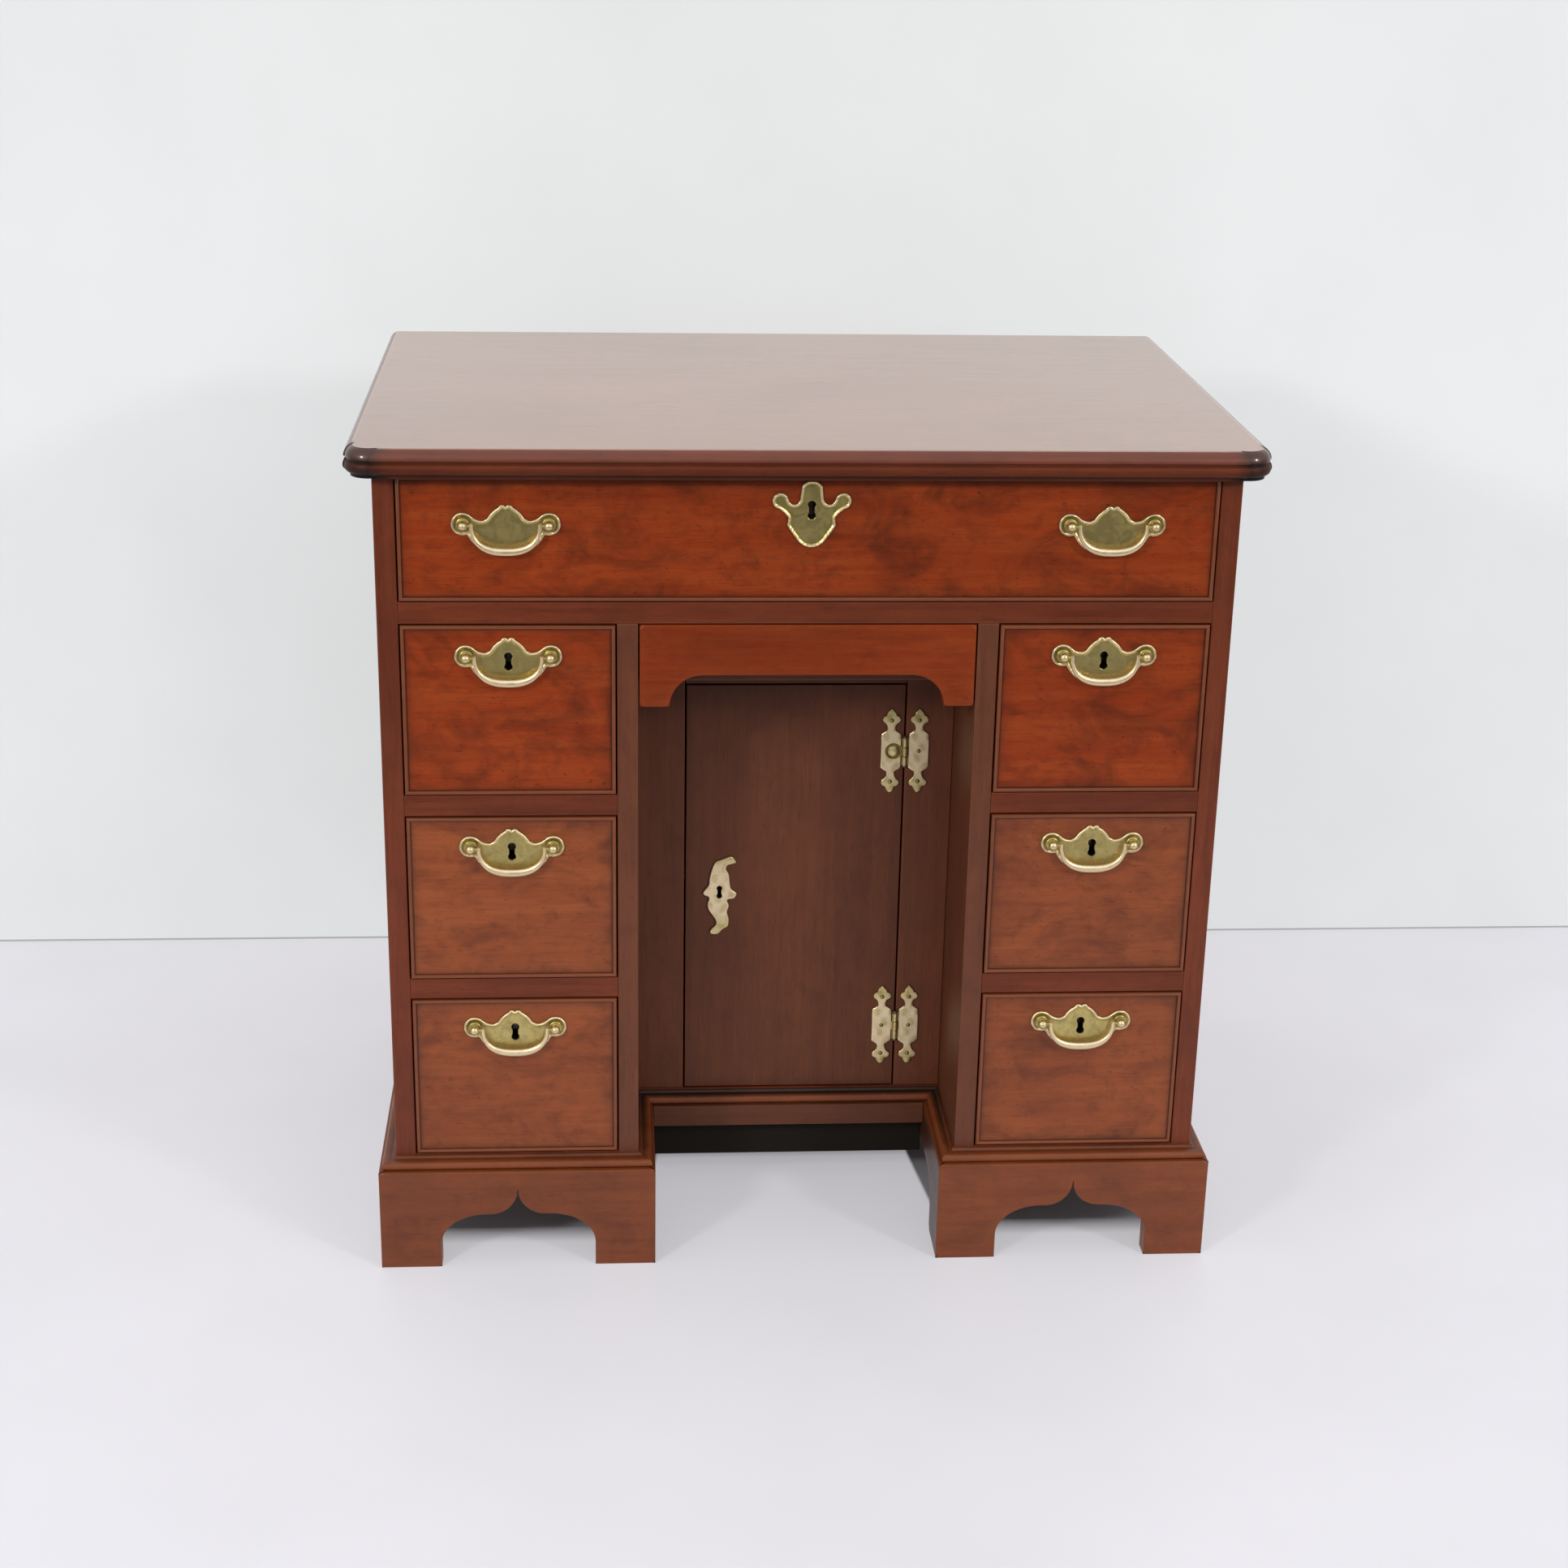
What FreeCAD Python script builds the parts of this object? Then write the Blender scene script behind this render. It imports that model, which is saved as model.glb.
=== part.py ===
"""Kneehole desk: a case with one long drawer over two banks of three drawers, an apron drawer
over the kneehole and a cupboard set back in it, on bracket plinths. Millimetres, +Z up, the
front towards -Y, the origin on the floor under the middle of the desk."""

import FreeCAD
import Part
import math
import os
from types import SimpleNamespace

from FreeCAD import Placement, Rotation, Vector

SIZES = (
    ("case_width", 764.0, "across the two case sides"),
    ("case_depth", 522.0, "front edges of the case to its back"),
    ("side_thick", 19.0, "case side board"),
    ("knee_width", 304.0, "kneehole, between the banks of drawers"),
    ("knee_thick", 19.0, "board between a bank and the kneehole"),
    ("back_thick", 10.0, "back boards"),
    ("back_joint", 1.0, "open joint between back boards"),
    ("top_thick", 26.0, "desk top"),
    ("top_overhang", 24.0, "desk top past the case, front and sides"),
    ("back_overhang", 8.0, "desk top past the case back"),
    ("corner_notch", 24.0, "square notch at a front corner of the top"),
    ("corner_step", 1.5, "fillet on each side of the round in that notch"),
    ("corner_room", 7.5, "how far that round shrinks as the edge slopes in"),
    ("ovolo_high", 10.0, "round along the top's upper edge"),
    ("ovolo_wide", 9.0, "its width"),
    ("ovolo_step", 0.8, "lower edge of that round, in from the bead"),
    ("groove_high", 3.0, "groove under that round"),
    ("groove_deep", 2.0, "groove, in from the bead"),
    ("fillet_deep", 5.0, "flat under the bead, in from the bead"),
    ("edge_bead", 10.0, "round bead, the widest part of the top"),
    ("plinth_height", 102.0, "floor to the case's bottom boards"),
    ("plinth_thick", 20.0, "bracket plinth boards"),
    ("plinth_proud", 16.0, "plinth face past the case"),
    ("foot_width", 57.5, "one bracket foot"),
    ("arch_height", 56.0, "floor to the straight of an arch"),
    ("shoulder_wide", 43.0, "elliptical shoulder of an arch, along the board"),
    ("shoulder_high", 31.0, "that shoulder, upwards"),
    ("arch_point", 82.0, "floor to the point of a front arch"),
    ("moulding_high", 11.0, "base moulding over the plinth"),
    ("moulding_proud", 13.0, "base moulding past the case"),
    ("moulding_bead", 8.5, "half-round bead of that moulding"),
    ("bottom_thick", 12.5, "bottom boards"),
    ("blade_thick", 20.0, "rails between drawers"),
    ("blade_depth", 60.0, "rails, front to back"),
    ("dust_thick", 10.0, "boards that the short drawers run on"),
    ("short_height", 161.5, "opening of a short drawer"),
    ("long_height", 115.0, "opening of the long drawer"),
    ("recess_depth", 129.0, "case front to the cupboard front"),
    ("stile_width", 46.0, "cupboard stile"),
    ("frame_thick", 19.0, "cupboard stiles and head"),
    ("head_height", 38.0, "head over the cupboard door"),
    ("door_thick", 19.0, "cupboard door"),
    ("door_gap", 1.5, "room round the door"),
    ("soffit_thick", 10.0, "board over the kneehole"),
    ("apron_opening", 50.0, "opening of the apron drawer"),
    ("apron_lift", 1.5, "apron's straight edge over the soffit"),
    ("ear_drop", 29.5, "apron's ears below its straight edge"),
    ("ear_width", 27.0, "flat foot of an ear"),
    ("shelf_thick", 12.0, "cupboard shelf"),
    ("shelf_height", 212.0, "cupboard floor to the shelf"),
    ("ledge_size", 14.0, "ledges under the shelf"),
    ("cupboard_plinth", 22.0, "plinth rail under the cupboard"),
    ("bearer_drop", 64.0, "rough bearer behind that rail"),
    ("block_size", 26.0, "glue blocks in the plinth corners"),
    ("block_lift", 8.0, "glue blocks above the floor"),
    ("front_thick", 20.0, "drawer fronts"),
    ("lining_thick", 9.0, "drawer sides"),
    ("drawer_back", 8.0, "drawer backs"),
    ("drawer_bottom", 6.0, "drawer bottoms"),
    ("bottom_rise", 6.0, "drawer bottoms above the side's lower edge"),
    ("lining_drop", 5.0, "drawer sides below the opening's top"),
    ("drawer_length", 498.0, "drawers, front to back"),
    ("drawer_gap", 1.2, "room round a drawer front"),
    ("side_gap", 1.0, "room beside a drawer"),
    ("run_gap", 0.3, "room under a drawer"),
    ("bead_width", 3.5, "cock bead round a drawer front"),
    ("bead_proud", 2.5, "cock bead past the drawer face"),
    ("bead_deep", 8.5, "cock bead let into the drawer front"),
    ("plate_thick", 1.8, "brass plates"),
    ("post_span", 75.0, "between the two posts of a handle"),
    ("ear_radius", 10.5, "round ears of a handle plate"),
    ("plate_peak", 17.5, "handle plate above its posts"),
    ("plate_drop", 27.0, "handle plate below its posts"),
    ("short_handle", 29.5, "posts below a short drawer's opening top"),
    ("long_handle", 44.0, "posts below the long drawer's opening top"),
    ("key_drop", 0.2, "round of a short drawer's keyhole below the posts"),
    ("long_key", 31.0, "middle of the key plate below the long drawer's opening top"),
    ("key_raise", 5.0, "round of a keyhole above the middle of its own plate"),
    ("key_radius", 2.8, "round of a keyhole"),
    ("key_slot", 12.0, "slot of a keyhole, below its round"),
    ("key_slot_width", 3.6, "width of that slot"),
    ("post_radius", 4.4, "head of a post"),
    ("collar_radius", 6.2, "collar of a post"),
    ("collar_high", 1.6, "collar on the plate"),
    ("post_reach", 8.0, "drawer face to the bail's pivot"),
    ("shaft_radius", 2.4, "shaft through the drawer front"),
    ("shaft_gap", 0.2, "room round that shaft"),
    ("nut_size", 9.0, "square nut behind the drawer front"),
    ("nut_thick", 3.0, "its thickness"),
    ("pivot_radius", 1.8, "bail pivot"),
    ("pivot_gap", 0.08, "room round the pivot"),
    ("pivot_length", 8.0, "bail pivot into its post"),
    ("bail_drop", 27.0, "bail below its pivots"),
    ("bail_middle", 7.0, "bail at its middle, top to bottom"),
    ("bail_arm", 3.6, "bail at its pivots"),
    ("bail_thick", 4.5, "bail, front to back"),
    ("bail_gap", 1.4, "room between a bail and its posts"),
    ("lock_width", 46.0, "lock case"),
    ("lock_height", 38.0, "its height"),
    ("lock_thick", 8.5, "its thickness"),
    ("bolt_width", 16.0, "lock bolt"),
    ("bolt_thick", 4.5, "its thickness"),
    ("bolt_length", 24.0, "its length"),
    ("bolt_throw", 8.0, "how far it shoots"),
    ("bolt_gap", 0.15, "room round it in the case"),
    ("mortise_gap", 0.8, "room round it in the rail"),
    ("rim_gap", 0.5, "door bolt clear of the stile's back"),
    ("rim_inset", 4.0, "door lock from the door's edge"),
    ("door_key", 33.0, "keyhole from the door's edge"),
    ("hinge_inset", 68.0, "hinge middle from an end of the door's opening"),
    ("leaf_width", 20.0, "hinge leaf"),
    ("leaf_body", 28.0, "its straight part"),
    ("leaf_finial", 29.0, "cut finial at each end"),
    ("leaf_thick", 2.0, "its thickness"),
    ("knuckle_radius", 3.0, "hinge knuckle"),
    ("knuckle_lift", 0.2, "knuckle off the wood"),
    ("knuckle_gap", 0.4, "room between knuckles, and round them"),
    ("pin_radius", 1.4, "hinge pin"),
    ("pin_gap", 0.05, "room round it in the door's knuckle"),
    ("pin_head", 2.0, "pin head past the knuckles"),
)
BACK_BOARDS = 6
OVOLO_STEPS = 6
BEAD_STEPS = 8
SHOULDER_STEPS = 4
KNUCKLES = 3

doc = FreeCAD.newDocument("kneehole_desk")
nodes = []


class Size:
    """A length worked out from the sheet: the expression that binds it, and its value."""

    def __init__(self, text, value):
        self.text = text
        self.value = value

    def __float__(self):
        return float(self.value)

    def __add__(self, other):
        return Size(f"({self.text} + {text_of(other)})", self.value + float(other))

    def __sub__(self, other):
        return Size(f"({self.text} - {text_of(other)})", self.value - float(other))

    def __rsub__(self, other):
        return Size(f"({text_of(other)} - {self.text})", float(other) - self.value)

    def __mul__(self, other):
        return Size(f"({self.text} * {text_of(other)})", self.value * float(other))

    def __truediv__(self, other):
        return Size(f"({self.text} / {text_of(other)})", self.value / float(other))

    def __neg__(self):
        return Size(f"(-{self.text})", -self.value)

    __radd__ = __add__
    __rmul__ = __mul__


def text_of(length):
    """The expression text of a Size or of a plain number."""
    return length.text if isinstance(length, Size) else f"({float(length)!r})"


def read_sheet():
    """Fills the sheet and gives each of its cells back as a Size."""
    sheet = doc.addObject("Spreadsheet::Sheet", "dims")
    for row, (alias, value, meaning) in enumerate(SIZES, 1):
        sheet.set(f"A{row}", meaning)
        sheet.set(f"B{row}", str(value))
        sheet.setAlias(f"B{row}", alias)
    doc.recompute()
    cells = {alias: Size(f"dims.{alias}", float(sheet.get(alias))) for alias, _, _ in SIZES}
    return SimpleNamespace(**cells)


# Plain building blocks

def keep(piece, label):
    """Names a finished sub-part, which is written out under that name."""
    piece.Label = label
    nodes.append(piece)
    return piece


def place(piece, corner):
    """Binds where a piece stands."""
    for axis, length in zip("xyz", corner):
        piece.setExpression(f"Placement.Base.{axis}", text_of(length))


def box(name, low, high):
    """A board between two opposite corners."""
    piece = doc.addObject("Part::Box", name)
    for side, a, b in zip(("Length", "Width", "Height"), low, high):
        piece.setExpression(side, text_of(b - a))
    place(piece, low)
    return piece


def rod(name, along, start, length, radius):
    """A round rod from its start along x, y or z."""
    turns = {"x": ((0, 1, 0), 90), "y": ((1, 0, 0), -90), "z": ((0, 0, 1), 0)}
    axis, angle = turns[along]
    piece = doc.addObject("Part::Cylinder", name)
    piece.Placement = Placement(Vector(), Rotation(Vector(*axis), angle))
    piece.setExpression("Radius", text_of(radius))
    piece.setExpression("Height", text_of(length))
    place(piece, start)
    return piece


def group(name, pieces):
    """Separate solids kept together."""
    piece = doc.addObject("Part::Compound", name)
    piece.Links = pieces
    return piece


def fuse(name, pieces):
    """Pieces that are one solid."""
    piece = doc.addObject("Part::MultiFuse", name)
    piece.Shapes = pieces
    piece.Refine = True
    return piece


def cut(name, base, tools):
    """A piece with other shapes taken out of it."""
    piece = doc.addObject("Part::Cut", name)
    piece.Base = base
    piece.Tool = tools[0] if len(tools) == 1 else group(f"{name}_tools", tools)
    return piece


def solid(name, shape, corner=None):
    """A piece whose shape is worked out here."""
    piece = doc.addObject("Part::Feature", name)
    piece.Shape = shape
    if corner is not None:
        piece.Placement = Placement(Vector(*map(float, corner)), Rotation())
    return piece


def padded(name, plane, edges, thickness, corner, reverse=False, holes=()):
    """A body: a closed sketch on one of its origin planes, padded, at its place."""
    body = doc.addObject("PartDesign::Body", name)
    sketch = body.newObject("Sketcher::SketchObject", f"{name}_sketch")
    base = [f for f in body.Origin.OriginFeatures if f.Role == plane]
    sketch.AttachmentSupport = [(base[0], "")]
    sketch.MapMode = "FlatFace"
    sketch.addGeometry(edges + [edge for hole in holes for edge in hole], False)
    pad = body.newObject("PartDesign::Pad", f"{name}_pad")
    pad.Profile = sketch
    pad.setExpression("Length", text_of(thickness))
    pad.Reversed = reverse
    body.Tip = pad
    place(body, corner)
    return body


def flat(point):
    """A point of a flat outline."""
    return Vector(float(point[0]), float(point[1]), 0)


def outline(start, steps):
    """Edges from a start point: a step is (end,) for a line or (through, end) for an arc."""
    edges = []
    here = flat(start)
    for step in steps:
        end = flat(step[-1])
        if len(step) == 1:
            edges.append(Part.LineSegment(here, end))
        else:
            edges.append(Part.Arc(here, flat(step[0]), end))
        here = end
    return edges


def mirrored(start, steps):
    """A half outline from its middle top to its middle bottom, closed by its mirror image."""
    ends = [start] + [step[-1] for step in steps]
    back = []
    for step, end in zip(reversed(steps), reversed(ends[:-1])):
        through = [(-float(p[0]), p[1]) for p in step[:-1]]
        back.append((*through, (-float(end[0]), end[1])))
    return outline(start, steps + back)


def across(side, near, far):
    """Low and high x of a board from near to far off the middle, on one side of the desk."""
    return (near, far) if side > 0 else (-far, -near)


def mitred(profile, start, along, out, up, lengths):
    """A strip of one profile with mitred ends. The profile is (out, up) edges, and lengths gives where
    the strip starts and ends along its line, and how much each end gains for each unit out."""
    (first, first_gain), (last, last_gain) = lengths
    wire = Part.Wire([edge.toShape() for edge in profile])
    room = wire.BoundBox
    spare = max(room.XLength, room.YLength)
    near, far = room.XMin - spare, room.XMax + spare
    turn = 1 if out.cross(up).dot(along) > 0 else -1
    bar = Part.Face(wire).extrude(Vector(0, 0, turn * (last - first + 6 * spare)))
    bar.translate(Vector(0, 0, turn * (first - 3 * spare)))
    plan = [
        (near, first + near * first_gain),
        (far, first + far * first_gain),
        (far, last + far * last_gain),
        (near, last + near * last_gain),
        (near, first + near * first_gain),
    ]
    wedge = Part.makePolygon([Vector(px, room.YMin - spare, turn * pz) for px, pz in plan])
    strip = bar.common(Part.Face(wedge).extrude(Vector(0, room.YLength + 2 * spare, 0)))
    frame = FreeCAD.Matrix()
    frame.A11, frame.A21, frame.A31 = out
    frame.A12, frame.A22, frame.A32 = up
    frame.A13, frame.A23, frame.A33 = along * turn
    frame.A14, frame.A24, frame.A34 = start
    strip.Placement = Placement(frame)
    return strip


s = read_sheet()
LEFT, RIGHT = -1, 1

# Levels and planes that many pieces share
half = s.case_width / 2
inner = half - s.side_thick
knee = s.knee_width / 2
bank = knee + s.knee_thick
front = s.top_overhang - (s.case_depth + s.top_overhang + s.back_overhang) / 2
back = front + s.case_depth
inside_back = back - s.back_thick
floor_level = s.plinth_height + s.bottom_thick
frieze_low = floor_level + 3 * s.short_height + 2 * s.blade_thick
long_low = frieze_low + s.blade_thick
top_low = long_low + s.long_height
soffit_top = frieze_low - s.apron_opening
soffit_low = soffit_top - s.soffit_thick
recess = front + s.recess_depth
door_top = soffit_low - s.head_height
opening_half = knee - s.stile_width
bank_middle = (bank + inner) / 2


def short_low(level):
    """Lower edge of a short drawer's opening, level 0 the lowest."""
    return floor_level + level * (s.short_height + s.blade_thick)


# Desk top

def top_ring(inset, level):
    """The top's outline at one level, set in all round, with a round in each front notch. Beyond the
    room that the notch has, only the straight edges go on in."""
    x = float(half + s.top_overhang) - inset
    y_front = float(front - s.top_overhang) + inset
    y_back = float(back + s.back_overhang)
    notch = float(s.corner_notch)
    centre_x = float(half + s.top_overhang) - notch
    centre_y = float(front - s.top_overhang) + notch
    step = min(inset, float(s.corner_room))
    radius = notch - float(s.corner_step) - step
    reach = math.sqrt(radius ** 2 - step ** 2)
    middle = radius * math.sqrt(0.5)
    right = [
        (centre_x - step, y_front),
        (centre_x - step, centre_y - reach),
        (centre_x + middle, centre_y - middle),
        (centre_x + reach, centre_y + step),
        (x, centre_y + step),
        (x, y_back),
    ]
    left = [(-px, py) for px, py in right]
    edges = outline(left[0], [(right[0],), (right[1],), (right[2], right[3]), (right[4],), (right[5],)])
    edges += outline(right[5], [(left[5],), (left[4],), (left[3],), (left[2], left[1]), (left[0],)])
    wire = Part.Wire([edge.toShape() for edge in edges])
    wire.translate(Vector(0, 0, level))
    return wire


def desk_top():
    """Fillet, bead, groove and ovolo worked round three edges of one board."""
    low = float(top_low)
    high = low + float(s.top_thick)
    ovolo_low = high - float(s.ovolo_high)
    groove_low = ovolo_low - float(s.groove_high)
    bead = float(s.edge_bead) / 2
    bead_low = groove_low - 2 * bead
    groove_in = float(s.groove_deep)
    fillet_in = float(s.fillet_deep)
    fillet = [top_ring(fillet_in, low), top_ring(fillet_in, bead_low)]
    nose = []
    for n in range(BEAD_STEPS + 1):
        turn = math.radians(180 * n / BEAD_STEPS - 90)
        deep = fillet_in if turn < 0 else groove_in
        nose.append(top_ring(deep * (1 - math.cos(turn)), bead_low + bead * (1 + math.sin(turn))))
    groove = [top_ring(groove_in, groove_low), top_ring(groove_in, ovolo_low)]
    ovolo = []
    for n in range(OVOLO_STEPS + 1):
        turn = math.radians(90 * n / OVOLO_STEPS)
        inset = float(s.ovolo_step) + float(s.ovolo_wide) * (1 - math.cos(turn))
        ovolo.append(top_ring(inset, ovolo_low + float(s.ovolo_high) * math.sin(turn)))
    layers = [Part.makeLoft(rings, True, True) for rings in (fillet, nose, groove, ovolo)]
    board = solid("top_board", layers[0].fuse(layers[1:]))
    keep(cut("top_cut", board, [bolt_mortise("top_mortise", 0 * half, top_low)]), "desk_top")


# Locks

def bolt_plane():
    """How far behind a drawer's face its bolt starts."""
    return front + s.front_thick - s.lock_thick / 2 - s.bolt_thick / 2


def bolt_mortise(name, x, level):
    """The hole over a drawer's bolt, up into a rail from its lower edge."""
    side = s.bolt_width / 2 + s.mortise_gap
    y = bolt_plane()
    return box(name, (x - side, y - s.mortise_gap, level - s.mortise_gap),
               (x + side, y + s.bolt_thick + s.mortise_gap, level + s.bolt_throw))


def drawer_lock(name, x, top):
    """The case let into the back of a drawer front, its bolt, and the bed that takes the case."""
    y = front + s.front_thick - s.lock_thick
    low = (x - s.lock_width / 2, y, top - s.lock_height)
    high = (x + s.lock_width / 2, y + s.lock_thick, top)
    case = box(f"{name}_case", low, high)
    side = s.bolt_width / 2
    bolt_y = bolt_plane()
    bolt_low = (x - side, bolt_y, top - s.bolt_length)
    bolt_high = (x + side, bolt_y + s.bolt_thick, top)
    room = s.bolt_gap
    slot = box(f"{name}_slot", tuple(v - room for v in bolt_low), tuple(v + room for v in bolt_high))
    bolt = box(f"{name}_bolt", bolt_low, bolt_high)
    bed = box(f"{name}_bed", low, high)
    return cut(f"{name}_body", case, [slot]), bolt, bed


def keyhole(name, x, z, y, depth):
    """A round with a slot under it, through a board or a plate."""
    hole = rod(f"{name}_round", "y", (x, y, z), depth, s.key_radius)
    side = s.key_slot_width / 2
    slot = box(f"{name}_slot", (x - side, y, z - s.key_slot), (x + side, y + depth, z))
    return fuse(name, [hole, slot])


# Handles

def plate_edges():
    """Half a handle plate, from its peak over the ear to its lower edge, round the post's centre."""
    span = s.post_span / 2
    ear = s.ear_radius
    peak = s.plate_peak
    drop = s.plate_drop
    ear_top = (-span + 0.56 * ear, 0.83 * ear)
    ear_foot = (-span + 0.36 * ear, -0.93 * ear)
    return mirrored((0, peak), [
        ((-span * 0.22, peak * 0.83), (-span * 0.45, peak * 0.3)),
        ((-span * 0.53, peak * 0.2),),
        ((-span * 0.7, peak * 0.27), ear_top),
        ((-span - ear, 0), ear_foot),
        ((-span * 0.74, -drop * 0.68), (-span * 0.45, -drop * 0.93)),
        ((-span * 0.24, -drop * 0.985), (0, -drop)),
    ])


def handle(name, x, z, keyed):
    """Plate, two posts with nuts, and the bail between them; also the holes that the posts need."""
    posts_at = (-s.post_span / 2, s.post_span / 2)
    holes = [
        [Part.Circle(Vector(float(p), 0, 0), Vector(0, 0, 1), float(s.shaft_radius + s.shaft_gap))]
        for p in posts_at
    ]
    plate = padded(f"{name}_plate", "XZ_Plane", plate_edges(), s.plate_thick, (x, front, z), holes=holes)
    if keyed:
        plate = cut(f"{name}_keyed", plate, [
            keyhole(f"{name}_key", x, z - s.key_drop, front - s.plate_thick, s.plate_thick)])
    pieces = [plate]
    shafts = []
    for n, p in enumerate(posts_at):
        at = (x + p, front - s.post_reach - s.post_radius, z)
        head = rod(f"{name}_head{n}", "y", at, s.post_reach + s.post_radius - s.plate_thick, s.post_radius)
        collar = rod(f"{name}_collar{n}", "y", (x + p, front - s.plate_thick - s.collar_high, z),
                     s.collar_high, s.collar_radius)
        inside = s.plate_thick + s.front_thick + s.nut_thick
        shaft = rod(f"{name}_shaft{n}", "y", (x + p, front - s.plate_thick, z), inside, s.shaft_radius)
        hole = rod(f"{name}_hole{n}", "x", (x + p - s.collar_radius, front - s.post_reach, z),
                   2 * s.collar_radius, s.pivot_radius + s.pivot_gap)
        pieces.append(cut(f"{name}_post{n}", fuse(f"{name}_turned{n}", [head, collar, shaft]), [hole]))
        nut_y = front + s.front_thick
        side = s.nut_size / 2
        nut = box(f"{name}_nut{n}", (x + p - side, nut_y, z - side),
                  (x + p + side, nut_y + s.nut_thick, z + side))
        bore = rod(f"{name}_bore{n}", "y", (x + p, nut_y, z), s.nut_thick, s.shaft_radius)
        pieces.append(cut(f"{name}_square{n}", nut, [bore]))
        way = s.shaft_radius + s.shaft_gap
        shafts.append(rod(f"{name}_way{n}", "y", (x + p, front, z), s.front_thick, way))
    return pieces, bail(f"{name}_bail", x, z), shafts


def bail(name, x, z):
    """A crescent loop that hangs between two posts, on a pivot into each."""
    arm_out = float(s.post_span / 2 - s.post_radius - s.bail_gap)
    arm_in = arm_out - float(s.bail_arm)
    top = float(s.pivot_radius)
    drop = float(s.bail_drop)
    rise = drop - float(s.bail_middle)
    outer = [(-arm_out, top), (-arm_out, -drop * 0.3), (-arm_out * 0.66, -drop * 0.8), (0, -drop)]
    inward = [(-arm_in, top), (-arm_in * 0.97, -rise * 0.36), (-arm_in * 0.62, -rise * 0.86), (0, -rise)]
    curves = []
    for half_line in (outer, inward):
        line = half_line + [(-px, pz) for px, pz in reversed(half_line[:-1])]
        curve = Part.BSplineCurve()
        curve.interpolate([Vector(px, 0, pz) for px, pz in line])
        curves.append(curve.toShape())
    ends = [Part.makeLine(Vector(sign * arm_out, 0, top), Vector(sign * arm_in, 0, top)) for sign in (-1, 1)]
    wire = Part.Wire([curves[0], ends[1], curves[1], ends[0]])
    thick = float(s.bail_thick)
    loop = Part.Face(wire).extrude(Vector(0, thick, 0))
    loop.translate(Vector(0, -thick / 2, 0))
    for sign in (-1, 1):
        start = Vector(sign * (arm_out - float(s.bail_arm) / 2), 0, 0)
        length = float(s.bail_arm) / 2 + float(s.bail_gap) + float(s.pivot_length)
        loop = loop.fuse(Part.makeCylinder(float(s.pivot_radius), length, start, Vector(sign, 0, 0)))
    return solid(name, loop.removeSplitter(), (x, front - s.post_reach, z))


# Drawers

def cock_beads(name, low, high):
    """Four thin strips with a round nose, mitred round a drawer front."""
    width = float(s.bead_width)
    nose = -float(s.bead_proud)
    deep = float(s.bead_deep)
    shoulder = nose + width / 2
    profile = outline((0, deep), [((0, shoulder),), ((width / 2, nose), (width, shoulder)),
                                  ((width, deep),), ((0, deep),)])
    corners = [(low[0], low[1]), (high[0], low[1]), (high[0], high[1]), (low[0], high[1])]
    strips = []
    for n in range(4):
        (ax, az), (bx, bz) = corners[n], corners[(n + 1) % 4]
        along = Vector(float(bx - ax), 0, float(bz - az))
        length = along.Length
        along.normalize()
        inward = Vector(-along.z, 0, along.x)
        start = Vector(float(ax), float(front), float(az))
        ends = ((0, 1), (length, -1))
        strips.append(solid(f"{name}_bead{n}", mitred(profile, start, along, inward, Vector(0, 1, 0), ends)))
    return strips


def linings(name, low_x, high_x, low_z, high_z, front_back):
    """Sides, back and bottom of a drawer, behind its front."""
    thick = s.lining_thick
    end = front + s.drawer_length
    sides = [
        box(f"{name}_side{n}", (x, front_back, low_z), (x + thick, end, high_z))
        for n, x in enumerate((low_x, high_x - thick))
    ]
    board_low = low_z + s.bottom_rise
    board_high = board_low + s.drawer_bottom
    bottom = box(f"{name}_bottom", (low_x + thick, front_back, board_low), (high_x - thick, end, board_high))
    rear = box(f"{name}_rear", (low_x + thick, end - s.drawer_back, board_high),
               (high_x - thick, end, high_z - s.bottom_rise))
    keep(group(f"{name}_box", sides + [bottom, rear]), f"{name}_linings")


def drawer(name, low_x, high_x, low_z, height, handles, handle_drop, key_level, keyed):
    """One drawer: front with cock beads, linings, brass and lock."""
    gap = s.drawer_gap
    low = (low_x + gap, low_z + gap)
    high = (high_x - gap, low_z + height - gap)
    bead = s.bead_width
    field = box(f"{name}_field", (low[0] + bead, front, low[1] + bead),
                (high[0] - bead, front + s.bead_deep, high[1] - bead))
    board = box(f"{name}_board", (low[0], front + s.bead_deep, low[1]),
                (high[0], front + s.front_thick, high[1]))
    middle = (low_x + high_x) / 2
    lock, bolt, bed = drawer_lock(f"{name}_lock", middle, high[1])
    ways = [bed, keyhole(f"{name}_keyway", middle, key_level, front, s.front_thick)]
    brass = [lock]
    bails = []
    for n, (side, x) in enumerate(handles):
        pieces, loop, shafts = handle(f"{name}_handle{n}", x, low_z + height - handle_drop, keyed)
        brass += pieces
        ways += shafts
        bails.append(keep(loop, f"{name}{side}_bail"))
    whole = cut(f"{name}_cut", fuse(f"{name}_blank", [field, board]), ways)
    keep(group(f"{name}_face", [whole] + cock_beads(name, low, high)), f"{name}_front")
    linings(name, low_x + s.side_gap, high_x - s.side_gap, low_z + s.run_gap,
            low_z + height - s.lining_drop, front + s.front_thick)
    keep(bolt, f"{name}_bolt")
    return brass


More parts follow.
